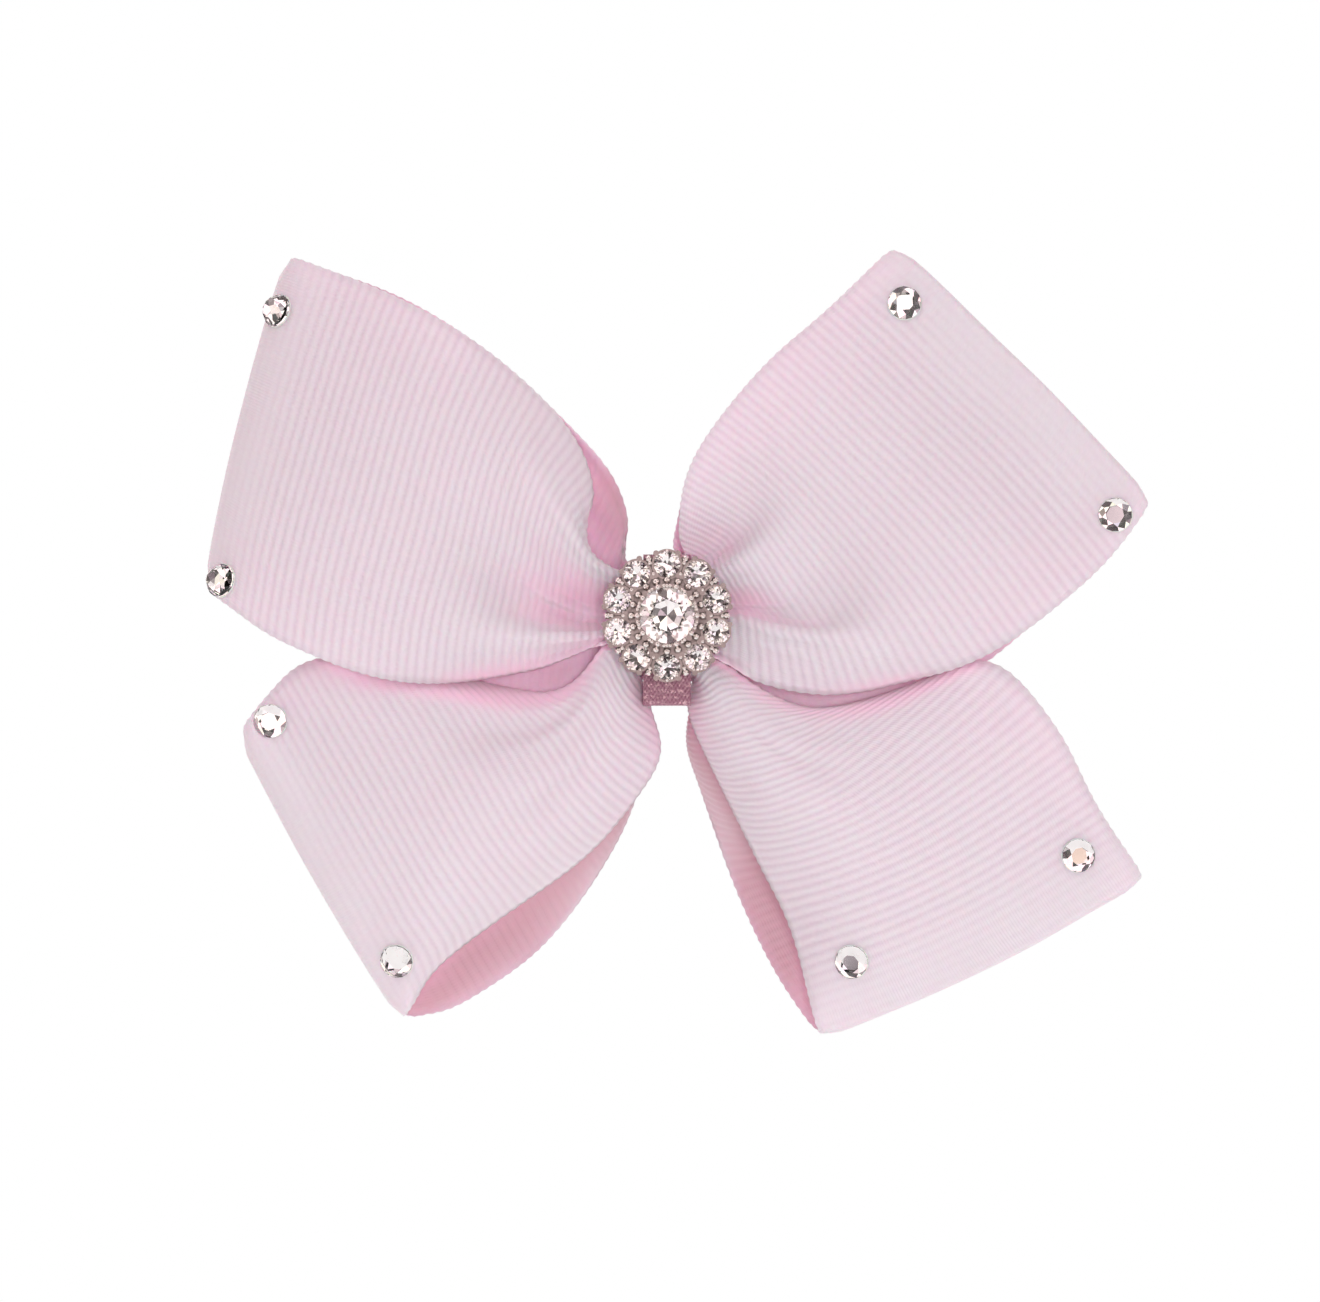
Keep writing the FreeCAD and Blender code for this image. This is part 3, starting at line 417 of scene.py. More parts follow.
def depth_map(layers, nearest):
    """Depth of some layers over the XZ plane: the nearest to the viewer, or the furthest."""
    sign = 1 if nearest else -1
    grid = np.full((2 * MAP_HALF, 2 * MAP_HALF), NOWHERE)
    for layer in layers:
        rows, columns = layer.shape[:2]
        fine = catmull_grid(layer, np.arange(0, rows - 1, 0.2), np.arange(0, columns - 1, 0.25))
        np.minimum.at(grid, map_cells(fine), sign * fine[..., 1])
    return np.where(grid < NOWHERE, sign * grid, np.nan)


def keep_clear(rear=None):
    """A rule for the solver: stay in front of the clip and, for the front ribbon, woven round the rear
    one, whose front layer passes between the two layers of each upper loop."""
    arm_low, arm_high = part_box("clip_base_arm")
    arm_front = arm_low.y / MM - LAYER_GAP
    arm_reach = arm_high.x / MM + 1
    arm_half = arm_high.z / MM + 1

    def rule(cloth, middle):
        over = (np.abs(cloth[..., 0]) < arm_reach) & (np.abs(cloth[..., 2]) < arm_half)
        cloth[..., 1] = np.where(over, np.minimum(cloth[..., 1], arm_front), cloth[..., 1])
        if not rear:
            return
        front, back = cloth[:middle + 1], cloth[middle + 1:]
        weave = ((front, np.fmin, "front_near", -LAYER_GAP), (back, np.fmax, "front_far", LAYER_GAP),
                 (back, np.fmin, "back_near", -LAYER_GAP))
        for layer, limit, depths, gap in weave:
            layer[..., 1] = limit(layer[..., 1], rear[depths][map_cells(layer)] + gap)
    return rule


def ring_nodes(ring, shapes):
    """The closed ribbon: left loop, waist, right loop, waist, back to the start at the left fold."""
    (left, middle), (right, _) = (shapes[loop] for loop in ring)
    steps = int(round(WAIST_LENGTH / CELL))
    share = np.linspace(0, 1, steps + 1)[1:-1, None, None]
    front_waist = left[0] + (right[0] - left[0]) * share
    back_waist = right[-1] + (left[-1] - right[-1]) * share
    return np.concatenate([left[middle::-1], front_waist, right, back_waist, left[:middle:-1]])


# ---- meshes
def grid_quads(rows, wide, closed):
    """Quads over a grid of points, closed up from its last row to its first or not."""
    row, column = np.meshgrid(np.arange(rows if closed else rows - 1), np.arange(wide - 1), indexing="ij")
    here = row * wide + column
    after = (row + 1) % rows * wide + column
    return np.stack([here, here + 1, after + 1, after], axis=-1).reshape(-1, 4)


def shade_smooth(mesh):
    mesh.polygons.foreach_set("use_smooth", np.ones(len(mesh.polygons), bool))


def from_bmesh(name, sculpt):
    """A mesh from a bmesh, which is freed."""
    mesh = bpy.data.meshes.new(name)
    sculpt.to_mesh(mesh)
    sculpt.free()
    return mesh


def smooth_mesh(name, vertices, faces):
    """A smooth-shaded mesh from vertices in mm."""
    mesh = bpy.data.meshes.new(name)
    mesh.from_pydata(np.asarray(vertices) * MM, [], faces)
    shade_smooth(mesh)
    mesh.validate()
    return mesh


def store(mesh, name, values, kind="FLOAT", domain="POINT"):
    """Numbers or vectors kept on a mesh for its material to read."""
    attribute = mesh.attributes.new(name, kind, domain)
    attribute.data.foreach_set("vector" if kind == "FLOAT_VECTOR" else "value", values)


def add_object(name, mesh, *materials):
    """An object from a finished mesh, with its materials."""
    piece = bpy.data.objects.new(name, mesh)
    bpy.context.scene.collection.objects.link(piece)
    for material in materials:
        mesh.materials.append(material)
    return piece


def add_piece(name, mesh, slot, *materials, node=None):
    """A piece on the bow's own body, in place of a CAD node or as well as them."""
    piece = add_object(name, mesh, *materials)
    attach(piece, "bow")
    if node:
        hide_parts(node)
    return piece


# ---- how much of the sky cloth hides, which sets the ribbon's painted shade
SHELTER_RAYS = 20
SHELTER_REACH = 30.0
SHELTER_START = 0.6  # how far off the cloth a ray starts


def unit(vectors):
    return vectors / (np.linalg.norm(vectors, axis=2, keepdims=True) + 1e-12)


def surface_normal(points):
    """Unit normals of a closed strip of points."""
    along = np.roll(points, -1, axis=0) - np.roll(points, 1, axis=0)
    return unit(np.cross(along, np.gradient(points, axis=1)))


def hemisphere(count):
    """Evenly spread directions over the half sphere about Z, crowded towards Z as light falls."""
    step = np.arange(count) + 0.5
    radius = np.sqrt(step / count)
    turn = step * pi * (3 - sqrt(5))
    return np.stack([radius * np.cos(turn), radius * np.sin(turn), np.sqrt(1 - radius ** 2)], axis=1)


def cloth_tree(rings):
    """A search tree over the bare cloth of all the ribbons."""
    vertices, quads = [], []
    for nodes in rings:
        quads.extend((grid_quads(*nodes.shape[:2], True) + len(vertices)).tolist())
        vertices.extend(nodes.reshape(-1, 3).tolist())
    return BVHTree.FromPolygons(vertices, quads)


def shelter(nodes, side, tree):
    """The share of the sky that other cloth hides from one side of the ribbon, at each node."""
    normal = side * surface_normal(nodes)
    rays = hemisphere(SHELTER_RAYS)
    hidden = np.zeros(nodes.shape[:2])
    for index in np.ndindex(hidden.shape):
        axis = Vector(normal[index])
        start = Vector(nodes[index]) + SHELTER_START * axis
        turn = axis.to_track_quat("Z", "Y").to_matrix()
        hits = sum(tree.ray_cast(start, turn @ Vector(ray), SHELTER_REACH)[0] is not None for ray in rays)
        hidden[index] = hits / SHELTER_RAYS
    for _ in range(3):
        hidden = 0.5 * hidden + 0.25 * (np.roll(hidden, 1, axis=0) + np.roll(hidden, -1, axis=0))
        hidden[:, 1:-1] = 0.5 * hidden[:, 1:-1] + 0.25 * (hidden[:, :-2] + hidden[:, 2:])
    return hidden


# ---- from cloth to ribbed ribbon
SAMPLES_PER_RIB = 4
RIB_IRONED = 0.25  # what is left of a rib's height at a fold
IRONED_REACH = 2.0  # how far from a fold they stay so, and over what length they come up again
RISE_REACH = 7.0
SELVEDGE_THINNING = 0.35
SELVEDGE_BUMP = 0.10  # how far the ribs stand out past the selvedge
INNER_SIDE = 1  # the side of the cloth that faces into its own loops, along its normals or not
# Painted shade: the insides of the loops count as this much more hidden, so they are painted in deeper shade.
INNER_SHADE_BOOST = 0.18
INNER_SHADE_START = 0.3  # the shelter at which the inside's painted dim pink shade starts to give way to painted hot pink, and over what more of it
INNER_SHADE_REACH = 0.45


def finer(nodes, rows, columns):
    """Smooth points of a closed ribbon at fractional rows (wrapping round) and columns."""
    return catmull_grid(np.concatenate([nodes[-3:], nodes, nodes[:4]]), rows + 3, columns)


def ring_length(nodes):
    """Length of the ribbon round its ring, as the mean of its lines."""
    return np.linalg.norm(nodes - np.roll(nodes, 1, axis=0), axis=2).sum(axis=0).mean()


def crispness(points):
    """How much the ribs stand up, by row: they are ironed nearly flat just before a fold."""
    count = len(points)
    rows = np.arange(count)
    right_fold = int(points[:, :, 0].mean(axis=1).argmax())
    from_left = np.minimum(rows, count - rows)
    from_fold = np.minimum(from_left, np.abs(rows - right_fold)) * RIB_PITCH / SAMPLES_PER_RIB
    return (RIB_IRONED + (1 - RIB_IRONED) * smoothstep((from_fold - IRONED_REACH) / RISE_REACH))[:, None]


def ribbed_faces(points, ribs, crisp):
    """The two faces of the ribbon about its middle surface, ribbed, and thin at the selvedges."""
    side = unit(np.gradient(points, axis=1))
    selvedge = np.ones(points.shape[1])
    selvedge[[0, -1]] = SELVEDGE_THINNING
    reach = (RIBBON_HALF_THICK + RIB_HEIGHT * (ribs * crisp)[..., None]) * selvedge[None, :, None]
    offset = surface_normal(points) * reach
    for surface in (points + offset, points - offset):
        surface[:, 0] -= side[:, 0] * SELVEDGE_BUMP * ribs
        surface[:, -1] += side[:, -1] * SELVEDGE_BUMP * ribs
        yield surface


def ribbon_quads(count, wide):
    """Quads over both faces of a closed ribbon and round its two selvedges."""
    front = grid_quads(count, wide, True)
    behind = count * wide
    here = np.arange(count) * wide
    there = np.roll(here, -1)
    low = np.stack([here, there, there + behind, here + behind], axis=-1)
    high = low[:, [3, 2, 1, 0]] + wide - 1
    return np.concatenate([front, front[:, ::-1] + behind, low, high])[:, ::-1]


def ribbon_mesh(name, nodes, tree):
    """A thick ribbed ribbon round the closed strip of nodes, with rounded selvedges."""
    count = int(round(ring_length(nodes) / RIB_PITCH)) * SAMPLES_PER_RIB
    rows = np.arange(count) * len(nodes) / count
    columns = np.linspace(0, WIDTH_CELLS, WIDTH_CELLS + 1)
    points = finer(nodes, rows, columns)
    phase = np.arange(count) / SAMPLES_PER_RIB
    ribs = (0.5 * np.cos(tau * phase))[:, None]
    crisp = crispness(points)
    vertices = np.concatenate([face.reshape(-1, 3) for face in ribbed_faces(points, ribs, crisp)])
    mesh = smooth_mesh(name, vertices, ribbon_quads(count, len(columns)))

    weave = np.zeros((2, count, len(columns), 3), np.float32)
    weave[..., 0] = (phase * RIB_PITCH)[:, None]
    weave[..., 1] = columns * RIBBON_WIDTH / WIDTH_CELLS
    weave[..., 2] = crisp
    store(mesh, "weave", weave.ravel(), "FLOAT_VECTOR")
    # Painted shade: each node's share of hidden sky, raised on the loops' insides, where a dim pink shade
    # gives way to the hot pink of painted light through the layers as the sky closes in.
    hidden, inner_shades = [], []
    for side in (1, -1):
        inside = side == INNER_SIDE
        share = finer(shelter(nodes, side, tree)[..., None], rows, columns).ravel()
        hidden.append(share + INNER_SHADE_BOOST * inside)
        inner_shades.append((1 - smoothstep((share - INNER_SHADE_START) / INNER_SHADE_REACH)) * inside)
    for attribute, parts in (("shelter", hidden), ("inner_shade", inner_shades)):
        store(mesh, attribute, np.clip(np.concatenate(parts), 0, 1).astype(np.float32))
    return mesh


# ---- nodes
class Nodes:
    """Short ways to add nodes to a tree. They take numbers, colours and other nodes' outputs."""

    def __init__(self, tree):
        self.tree = tree

    def feed(self, socket, value):
        if isinstance(value, bpy.types.NodeSocket):
            self.tree.links.new(value, socket)
        else:
            socket.default_value = (*value, 1) if socket.type == "RGBA" else value

    def add(self, kind, inputs, output=0, **settings):
        """Add a node and give its output."""
        node = self.tree.nodes.new("ShaderNode" + kind)
        for setting, value in settings.items():
            setattr(node, setting, value)
        for key, value in inputs.items():
            self.feed(node.inputs[key], value)
        return node.outputs[output]

    def math(self, operation, *values, clamp=False):
        return self.add("Math", dict(enumerate(values)), operation=operation, use_clamp=clamp)

    def wave(self, place, pitch, shape="SINE"):
        return self.math(shape, self.math("MULTIPLY", place, tau / pitch))

    def mix(self, share, first, second):
        """A colour between two colours. The Mix node's colour sockets come after its other kinds."""
        return self.add("Mix", {0: share, 6: first, 7: second}, 2, data_type="RGBA")

    def noise(self, place, scale, detail=2, output="Fac"):
        return self.add("TexNoise", {"Vector": place, "Scale": scale, "Detail": detail}, output)

    def ranged(self, value, low, high, start=0, end=1, kind="LINEAR"):
        """A value mapped from one range, start to end, to another, low to high."""
        return self.add("MapRange", {"Value": value, "From Min": start, "From Max": end, "To Min": low,
                                     "To Max": high}, "Result", interpolation_type=kind)

    def split(self, value, kind="XYZ"):
        return self.add("Separate" + kind, {0: value}).node.outputs


class Look(Nodes):
    """The nodes of a new material."""

    def __init__(self, name):
        self.material = bpy.data.materials.new(name)
        self.material.use_nodes = True
        super().__init__(self.material.node_tree)

    def attribute(self, name, output="Fac"):
        return self.add("Attribute", {}, output, attribute_name=name)

    def place(self):
        """Places on the object in millimetres."""
        place = self.add("TexCoord", {}, "Object")
        return self.add("VectorMath", {0: place, "Scale": 1 / MM}, operation="SCALE")

    def bump(self, height, depth, strength=1):
        return self.add("Bump", {"Height": height, "Distance": depth * MM, "Strength": strength})

    def surface(self, inputs):
        """Feed the surface's own sockets, and give the material."""
        for name, value in inputs.items():
            self.feed(self.tree.nodes["Principled BSDF"].inputs[name], value)
        return self.material


# ---- materials
def grosgrain():
    """Pale pink ribbed ribbon: fine warp yarns run over thick wefts, and the grooves are painted darker, as
    painted shade.
    Where cloth hides the sky it is painted in shade: the deeper pink that light takes on between pink layers,
    dim on the loops' insides and, as painted light through the layers, hot pink in the deepest gaps."""
    look = Look("grosgrain_pink")
    weave = look.attribute("weave", "Vector")
    along, across, crisp = look.split(weave)
    # Painted shade in the grooves between the ribs, fading where the ribs lie flat near the folds.
    groove_shade = look.math("MULTIPLY_ADD", look.wave(along, RIB_PITCH, "COSINE"), -0.5, 0.5)
    groove_shade = look.math("MULTIPLY", look.math("POWER", groove_shade, 1.5), crisp)
    slub = look.noise(weave, 2.4, 3)
    body = look.mix(look.noise(weave, 0.12), (0.785, 0.672, 0.732), (0.785, 0.70, 0.757))
    shade = look.mix(look.math("MULTIPLY", groove_shade, 0.29), body, (0.60, 0.41, 0.53))
    worn = look.math("MULTIPLY", look.math("SUBTRACT", slub, 0.4, clamp=True), 0.5)
    lit = look.mix(worn, shade, (0.91, 0.80, 0.87))
    # Painted shade colour: dim pink on the loops' insides, and hot pink, painted light through the layers, in
    # the deepest gaps.
    painted_shade_pink = look.mix(look.attribute("inner_shade"), (1, 0.63, 0.77), (0.62, 0.42, 0.475))
    # Painted shade: the more of its sky other cloth hides, the more the ribbon is painted in its shade
    # colour.
    hidden = look.ranged(look.attribute("shelter"), 0, 1, 0.08, 0.45, "SMOOTHSTEP")
    height = look.math("MULTIPLY_ADD", look.wave(across, YARN_PITCH), 0.5, slub)
    return look.surface({
        "Base Color": look.mix(hidden, lit, painted_shade_pink),
        "Roughness": look.math("MULTIPLY_ADD", slub, 0.25, 0.5),
        "Specular IOR Level": 0.35,
        "Subsurface Weight": 0.6,
        "Subsurface Scale": 1.2 * MM,
        "Subsurface Radius": (1, 0.42, 0.62),
        "Sheen Weight": 0.5,
        "Sheen Roughness": 0.45,
        "Sheen Tint": (1, 0.93, 0.97),
        "Normal": look.bump(height, 0.05, 0.25),
    })


def metal(name, colour, tint, roughness, grain, brushed=(1, 1, 1)):
    """Plated metal with a faint grain, stretched along the way that it was brushed, and dull patches."""
    look = Look(name)
    place = look.place()
    stretched = look.add("VectorMath", {0: place, 1: brushed}, operation="MULTIPLY")
    patches = look.noise(place, 0.35)
    return look.surface({
        "Base Color": look.mix(patches, colour, tint),
        "Metallic": 1,
        "Roughness": look.ranged(patches, 0.6 * roughness, 1.5 * roughness),
        "Normal": look.bump(look.noise(stretched, grain, 3), 0.02, 0.5),
    })


def glass():
    """Clear lead crystal, with a trace of colour and of polishing marks."""
    look = Look("cut_crystal")
    marks = look.noise(look.place(), 3)
    return look.surface({
        "Base Color": look.mix(marks, (0.99, 0.99, 1), (1, 0.985, 0.99)),
        "Roughness": look.ranged(marks, 0, 0.015),
        "Transmission Weight": 1,
        "IOR": 1.6,
    })


def stone_foil():
    """Mirror foil behind a stone. Each facet is painted dark or bright as a fixed painted glint, whatever the
    light.
    """
    look = Look("stone_foil")
    facet_glint = look.ranged(look.attribute("facet"), 0, 1, 0.14, 0.24)
    return look.surface({
        "Base Color": look.mix(facet_glint, (0.14, 0.12, 0.125), (0.98, 0.97, 0.96)),
        "Metallic": 1,
        "Roughness": look.ranged(look.noise(look.place(), 2), 0.01, 0.04),
    })


def glitter_wrap():
    """Mauve ribbon woven with flat metal thread, which sparkles."""
    look = Look("glitter_wrap")
    place = look.place()
    across, _, up = look.split(place)
    weft = look.wave(up, 0.62)
    weave = look.math("MULTIPLY", weft, look.wave(across, 0.40))
    cells = look.add("TexVoronoi", {"Vector": place, "Scale": 4.4}, "Color")
    bright, dull, raised = look.split(cells, "Color")
    fleck = look.math("MULTIPLY", look.ranged(bright, 0, 1, 0.55, 0.8),
                      look.ranged(weft, 0.2, 1, -1, 0.6))
    cloth = look.mix(look.ranged(weave, 0, 1, -1, 1), (0.28, 0.105, 0.155), (0.46, 0.22, 0.29))
    height = look.math("ADD", look.math("MULTIPLY", weave, 0.4), raised)
    return look.surface({
        "Base Color": look.mix(fleck, cloth, (0.78, 0.50, 0.56)),
        "Metallic": fleck,
        "Roughness": look.ranged(dull, 0.18, 0.6),
        "Normal": look.bump(height, 0.10),
    })


def twisted_thread():
    """White polyester sewing thread, each strand twisted."""
    look = Look("twisted_thread")
    place = look.place()
    across, depth, up = look.split(place)
    slant = look.math("ADD", across, look.math("ADD", depth, up))
    fibres = look.noise(place, 6, 3)
    return look.surface({
        "Base Color": look.mix(fibres, (0.80, 0.62, 0.69), (0.92, 0.82, 0.86)),
        "Roughness": look.ranged(fibres, 0.45, 0.7),
        "Normal": look.bump(look.wave(slant, 0.3), 0.05),
    })


def hot_glue():
    """Set hot-melt glue: milky, glossy and slightly lumpy."""
    look = Look("hot_glue")
    lumps = look.noise(look.place(), 1.6)
    return look.surface({
        "Base Color": look.mix(lumps, (0.86, 0.84, 0.78), (0.94, 0.93, 0.90)),
        "Roughness": look.ranged(lumps, 0.18, 0.34),
        "Subsurface Weight": 0.3,
        "Subsurface Scale": 1.0 * MM,
        "Normal": look.bump(lumps, 0.12),
    })


def liner_cloth():
    """White ribbed tape with fine yarns along it."""
    look = Look("liner_cloth")
    place = look.place()
    _, _, up = look.split(place)
    fluff = look.noise(place, 2.2, 3)
    return look.surface({
        "Base Color": look.mix(fluff, (0.90, 0.72, 0.79), (0.94, 0.82, 0.87)),
        "Roughness": look.ranged(fluff, 0.6, 0.85),
        "Sheen Weight": 0.4,
        "Normal": look.bump(look.wave(up, 0.25), 0.03, 0.6),
    })


def floor_paint():
    return Look("floor_paint").surface({
        "Base Color": (0.93, 0.93, 0.93),
        "Roughness": 0.8,
        "Emission Color": (1, 1, 1),
        "Emission Strength": 0.24,
    })


pink = grosgrain()
crystal = glass()
foil = stone_foil()
# The recess metal is painted darker and pinker than its plating: painted shade between the stones and a
# painted reflection of the pink ribbon. The silver's pink tint is a painted reflection of the ribbon too.
recess = metal("setting_recess", (0.42, 0.36, 0.345), (0.31, 0.26, 0.25), 0.26, 5)
silver = metal("silver_plate", (0.95, 0.89, 0.86), (0.90, 0.84, 0.81), 0.13, 5)
nickel = metal("nickel_plate", (0.49, 0.53, 0.53), (0.57, 0.61, 0.61), 0.34, 3, (0.15, 1, 1))
spring_wire = metal("spring_wire", (0.40, 0.43, 0.44), (0.52, 0.55, 0.55), 0.30, 4, (0.3, 1, 1))
glue = hot_glue()


# ---- the two ribbons
def relaxed_rings():
    """Both ribbons as bare cloth, the rear one first, since the front one is woven round it."""
    shapes = {loop: relax(LOOPS[loop], keep_clear()) for loop in RINGS["rear"]}
    fronts = [cloth[:middle] for cloth, middle in shapes.values()]
    backs = [cloth[middle + 1:] for cloth, middle in shapes.values()]
    depths = {"front_near": depth_map(fronts, True), "front_far": depth_map(fronts, False),
              "back_near": depth_map(backs, True)}
    for loop in RINGS["front"]:
        shapes[loop] = relax(LOOPS[loop], keep_clear(depths))
    return {side: ring_nodes(RINGS[side], shapes) for side in ("front", "rear")}


rings = relaxed_rings()
tree = cloth_tree(rings.values())
for side, nodes in rings.items():
    name = f"ribbon_{side}"
    piece = add_piece(name, ribbon_mesh(name, nodes, tree), "ribbon", pink, node=f"{side}_ribbon")
    flat = (RIBBON_WIDTH * MM, ring_length(nodes) * MM)


# ---- cut stones
STONE_SIDES = 8
TABLE = 0.56  # radii of the table and of the star facets' points, over the stone's
STAR = 0.77
RING_LEAN = 0.10  # how far the ring stones lean outward, as a slope
RING_SPREAD = 1.08  # cut stones fill their claws, a little wider than the CAD stones
RING_LIFT = 0.15
CROWN = 0.38  # heights of a cluster stone's crown and girdle, and its foil's depth, over
GIRDLE = 0.10  # its radius
FOIL_DEPTH = 0.28
STONE_RADIUS = 1.75  # the flat-backed stones near the folds
STONE_HEIGHT = 1.3
GLUE_HEIGHT = 0.12
MAINS_RADIUS = 0.34  # the pavilion's main facets meet here, over the stone's radius and over its depth
MAINS_DEPTH = 0.72
GOLDEN = 0.618034  # spreads the facets' painted glints evenly between dark and bright


def cut_stone(name, radius, crown, girdle, pavilion, turn):
    """A round stone cut as a brilliant: crown up +Z and foil behind, the girdle's foot at Z = 0."""
    sculpt = bmesh.new()
    table, star = TABLE * radius, STAR * radius
    sides = STONE_SIDES

    def ring(distance, height, count, shift=0.0):
        angles = [turn + (k + shift) * tau / count for k in range(count)]
        return [sculpt.verts.new((distance * cos(a), distance * sin(a), height)) for a in angles]

    def span(loop, k):
        return loop[2 * k], loop[2 * k + 1], loop[(2 * k + 2) % len(loop)]

    def facet(corners, material=0):
        sculpt.faces.new(corners).material_index = material

    slope = (star * cos(pi / sides) - table) / (radius - table)
    top = ring(table, girdle + crown, sides)
    stars = ring(star, girdle + crown * (1 - slope), sides, 0.5)
    rim = ring(radius, girdle, 2 * sides)
    foot = ring(radius, 0.0, 2 * sides)
    facet(top)
    for k in range(sides):
        left, middle, right = span(rim, k)
        facet([top[(k + 1) % sides], top[k], stars[k]])
        facet([top[k], stars[k - 1], left, stars[k]])
        facet([stars[k], left, middle])
        facet([stars[k], middle, right])
    for k in range(2 * sides):
        after = (k + 1) % (2 * sides)
        facet([rim[k], foot[k], foot[after], rim[after]])
    if pavilion:
        culet = sculpt.verts.new((0, 0, -pavilion))
        mains = ring(MAINS_RADIUS * radius, -MAINS_DEPTH * pavilion, sides)
        for k in range(sides):
            left, middle, right = span(foot, k)
            main, after = mains[k], mains[(k + 1) % sides]
            for corners in ([left, main, middle], [middle, after, right], [middle, main, after],
                            [main, culet, after]):
                facet(corners, 1)
    else:
        facet(foot[::-1], 1)
    bmesh.ops.recalc_face_normals(sculpt, faces=sculpt.faces)
    mesh = from_bmesh(name, sculpt)
    # Painted glints: each foil facet of a stone with a pavilion gets its own fixed level, dark or bright;
    # flat-backed foil is bright all over.
    facet_glints = [(turn + k * GOLDEN) % 1.0 if pavilion else 1.0 for k in range(len(mesh.polygons))]
    store(mesh, "facet", facet_glints, domain="FACE")
    return mesh


def facing_out(outward):
    """The turn that brings +Z to the way out."""
    return outward.to_track_quat("Z", "Y").to_matrix().to_4x4()


def seat_stone(node, mesh, seat, outward):
    """Put a stone's mesh on its seat, facing outward, in place of its CAD node. Places are in mm."""
    mesh.transform(Matrix.Scale(MM, 4) @ Matrix.Translation(seat) @ facing_out(outward))
    add_piece("cut_" + node, mesh, "crystal", crystal, foil, node=node)


def named(start):
    """The CAD nodes whose names start so, in order."""
    return sorted(node for node in frame["nodes"] if node.startswith(start))


def middle_of(node):
    """A node's centre, half its width, and its Y nearest to the viewer and furthest from it, in mm."""
    low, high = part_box(node)
    return 0.5 * (low + high) / MM, 0.5 * (high.x - low.x) / MM, low.y / MM, high.y / MM


def cluster_stones():
    """The stones of the centre cluster, each at its CAD stone's place."""
    for index, node in enumerate(["centre_crystal"] + named("ring_crystal")):
        centre, radius, near, _ = middle_of(node)
        crown, girdle = CROWN * radius, GIRDLE * radius
        seat = Vector((centre.x, near + crown + girdle, centre.z))
        outward = Vector((0, -1, 0))
        if index:
            outward += RING_LEAN * Vector((centre.x, 0, centre.z)).normalized()
            seat.y -= RING_LIFT
            radius *= RING_SPREAD
        mesh = cut_stone(node, radius, crown, girdle, FOIL_DEPTH * radius, 0.37 * index)
        seat_stone(node, mesh, seat, outward.normalized())


def facing(node):
    """The way a flat-backed CAD stone faces: away from its largest flat face."""
    areas = {}
    for polygon in frame["nodes"][node].data.polygons:
        key = tuple(round(part, 2) for part in polygon.normal)
        areas[key] = areas.get(key, 0.0) + polygon.area
    return -Vector(max(areas, key=areas.get))


def corner_stones():
    """The flat-backed stones near the folds, each on the ribbon where its CAD stone is, on a dot of glue."""
    dots = bmesh.new()
    for node in named("corner_crystal"):
        front = facing(node)
        spot = tree.find_nearest(middle_of(node)[0] - 0.5 * STONE_HEIGHT * front)[0]
        outward = Vector((0, 0, 0))
        for _, normal, _, _ in tree.find_nearest_range(spot, STONE_RADIUS):
            outward += normal if normal.dot(front) > 0 else -normal
        outward.normalize()
        seat = spot + (RIBBON_HALF_THICK + 0.5 * RIB_HEIGHT + GLUE_HEIGHT) * outward
        mesh = cut_stone(node, STONE_RADIUS, 0.8 * STONE_HEIGHT, 0.2 * STONE_HEIGHT, 0, 0.9 * spot.x)
        seat_stone(node, mesh, seat, outward)
        squash = Matrix.Diagonal((1.04 * STONE_RADIUS, 1.04 * STONE_RADIUS, 0.9 * GLUE_HEIGHT, 1))
        foot = Matrix.Scale(MM, 4) @ Matrix.Translation(seat - GLUE_HEIGHT * outward)
        bmesh.ops.create_uvsphere(dots, u_segments=28, v_segments=12, radius=1,
                                  matrix=foot @ facing_out(outward) @ squash)
    mesh = from_bmesh("stone_glue", dots)
    shade_smooth(mesh)
    add_piece("stone_glue", mesh, "glue", glue, node="corner_glue")


# ---- the cluster's claws
# The two rows of beads between the centre stone and the ring: how many, how far past the centre
# stone, how high over the plate, and their radius.
BEAD_ROWS = ((20, 0.78, 1.45, 0.38), (30, 0.18, 2.35, 0.22))
BEAD_LENGTH = 0.8
RIM_CLAW_LEANS = (-0.85, 0.0, 0.85)


def tube_mesh(name, routes, sides=12):
    """Round tubes, each along its own (points, radii) route with capped ends. Places are in mm."""
    vertices, faces = [], []
    turns = np.arange(sides) * tau / sides
    for points, radii in routes:
        points = np.asarray(points, float)
        tangent = np.gradient(points, axis=0)
        tangent /= np.linalg.norm(tangent, axis=1, keepdims=True)
        guide = np.array([0.0, 0.0, 1.0]) if abs(tangent[0, 2]) < 0.9 else np.array([1.0, 0.0, 0.0])
        rings = np.arange(len(points) * sides).reshape(-1, sides) + len(vertices)
        for point, ahead, radius in zip(points, tangent, radii):
            sideways = np.cross(ahead, guide)
            sideways /= np.linalg.norm(sideways)
            guide = np.cross(sideways, ahead)
            ring = point + radius * (np.outer(np.cos(turns), sideways) + np.outer(np.sin(turns), guide))
            vertices.extend(ring.tolist())
        beside = np.roll(rings, -1, axis=1)
        tube = np.stack([rings[1:], beside[1:], beside[:-1], rings[:-1]], axis=-1)
        faces += tube.reshape(-1, 4).tolist() + [rings[0].tolist(), rings[-1, ::-1].tolist()]
    return smooth_mesh(name, vertices, faces)


def post(foot, tip, radius, rounding=5):
    """A straight claw from foot to tip, domed at its tip, as a tube's route."""
    foot, tip = np.asarray(foot, float), np.asarray(tip, float)
    axis = (tip - foot) / np.linalg.norm(tip - foot)
    angles = np.linspace(0, 0.97 * pi / 2, rounding)
    dome = [tip + axis * radius * sin(a) for a in angles]
    return [foot] + dome, [radius] + [radius * cos(a) for a in angles]


def polar(radius, angle, depth):
    return (radius * cos(angle), depth, radius * sin(angle))


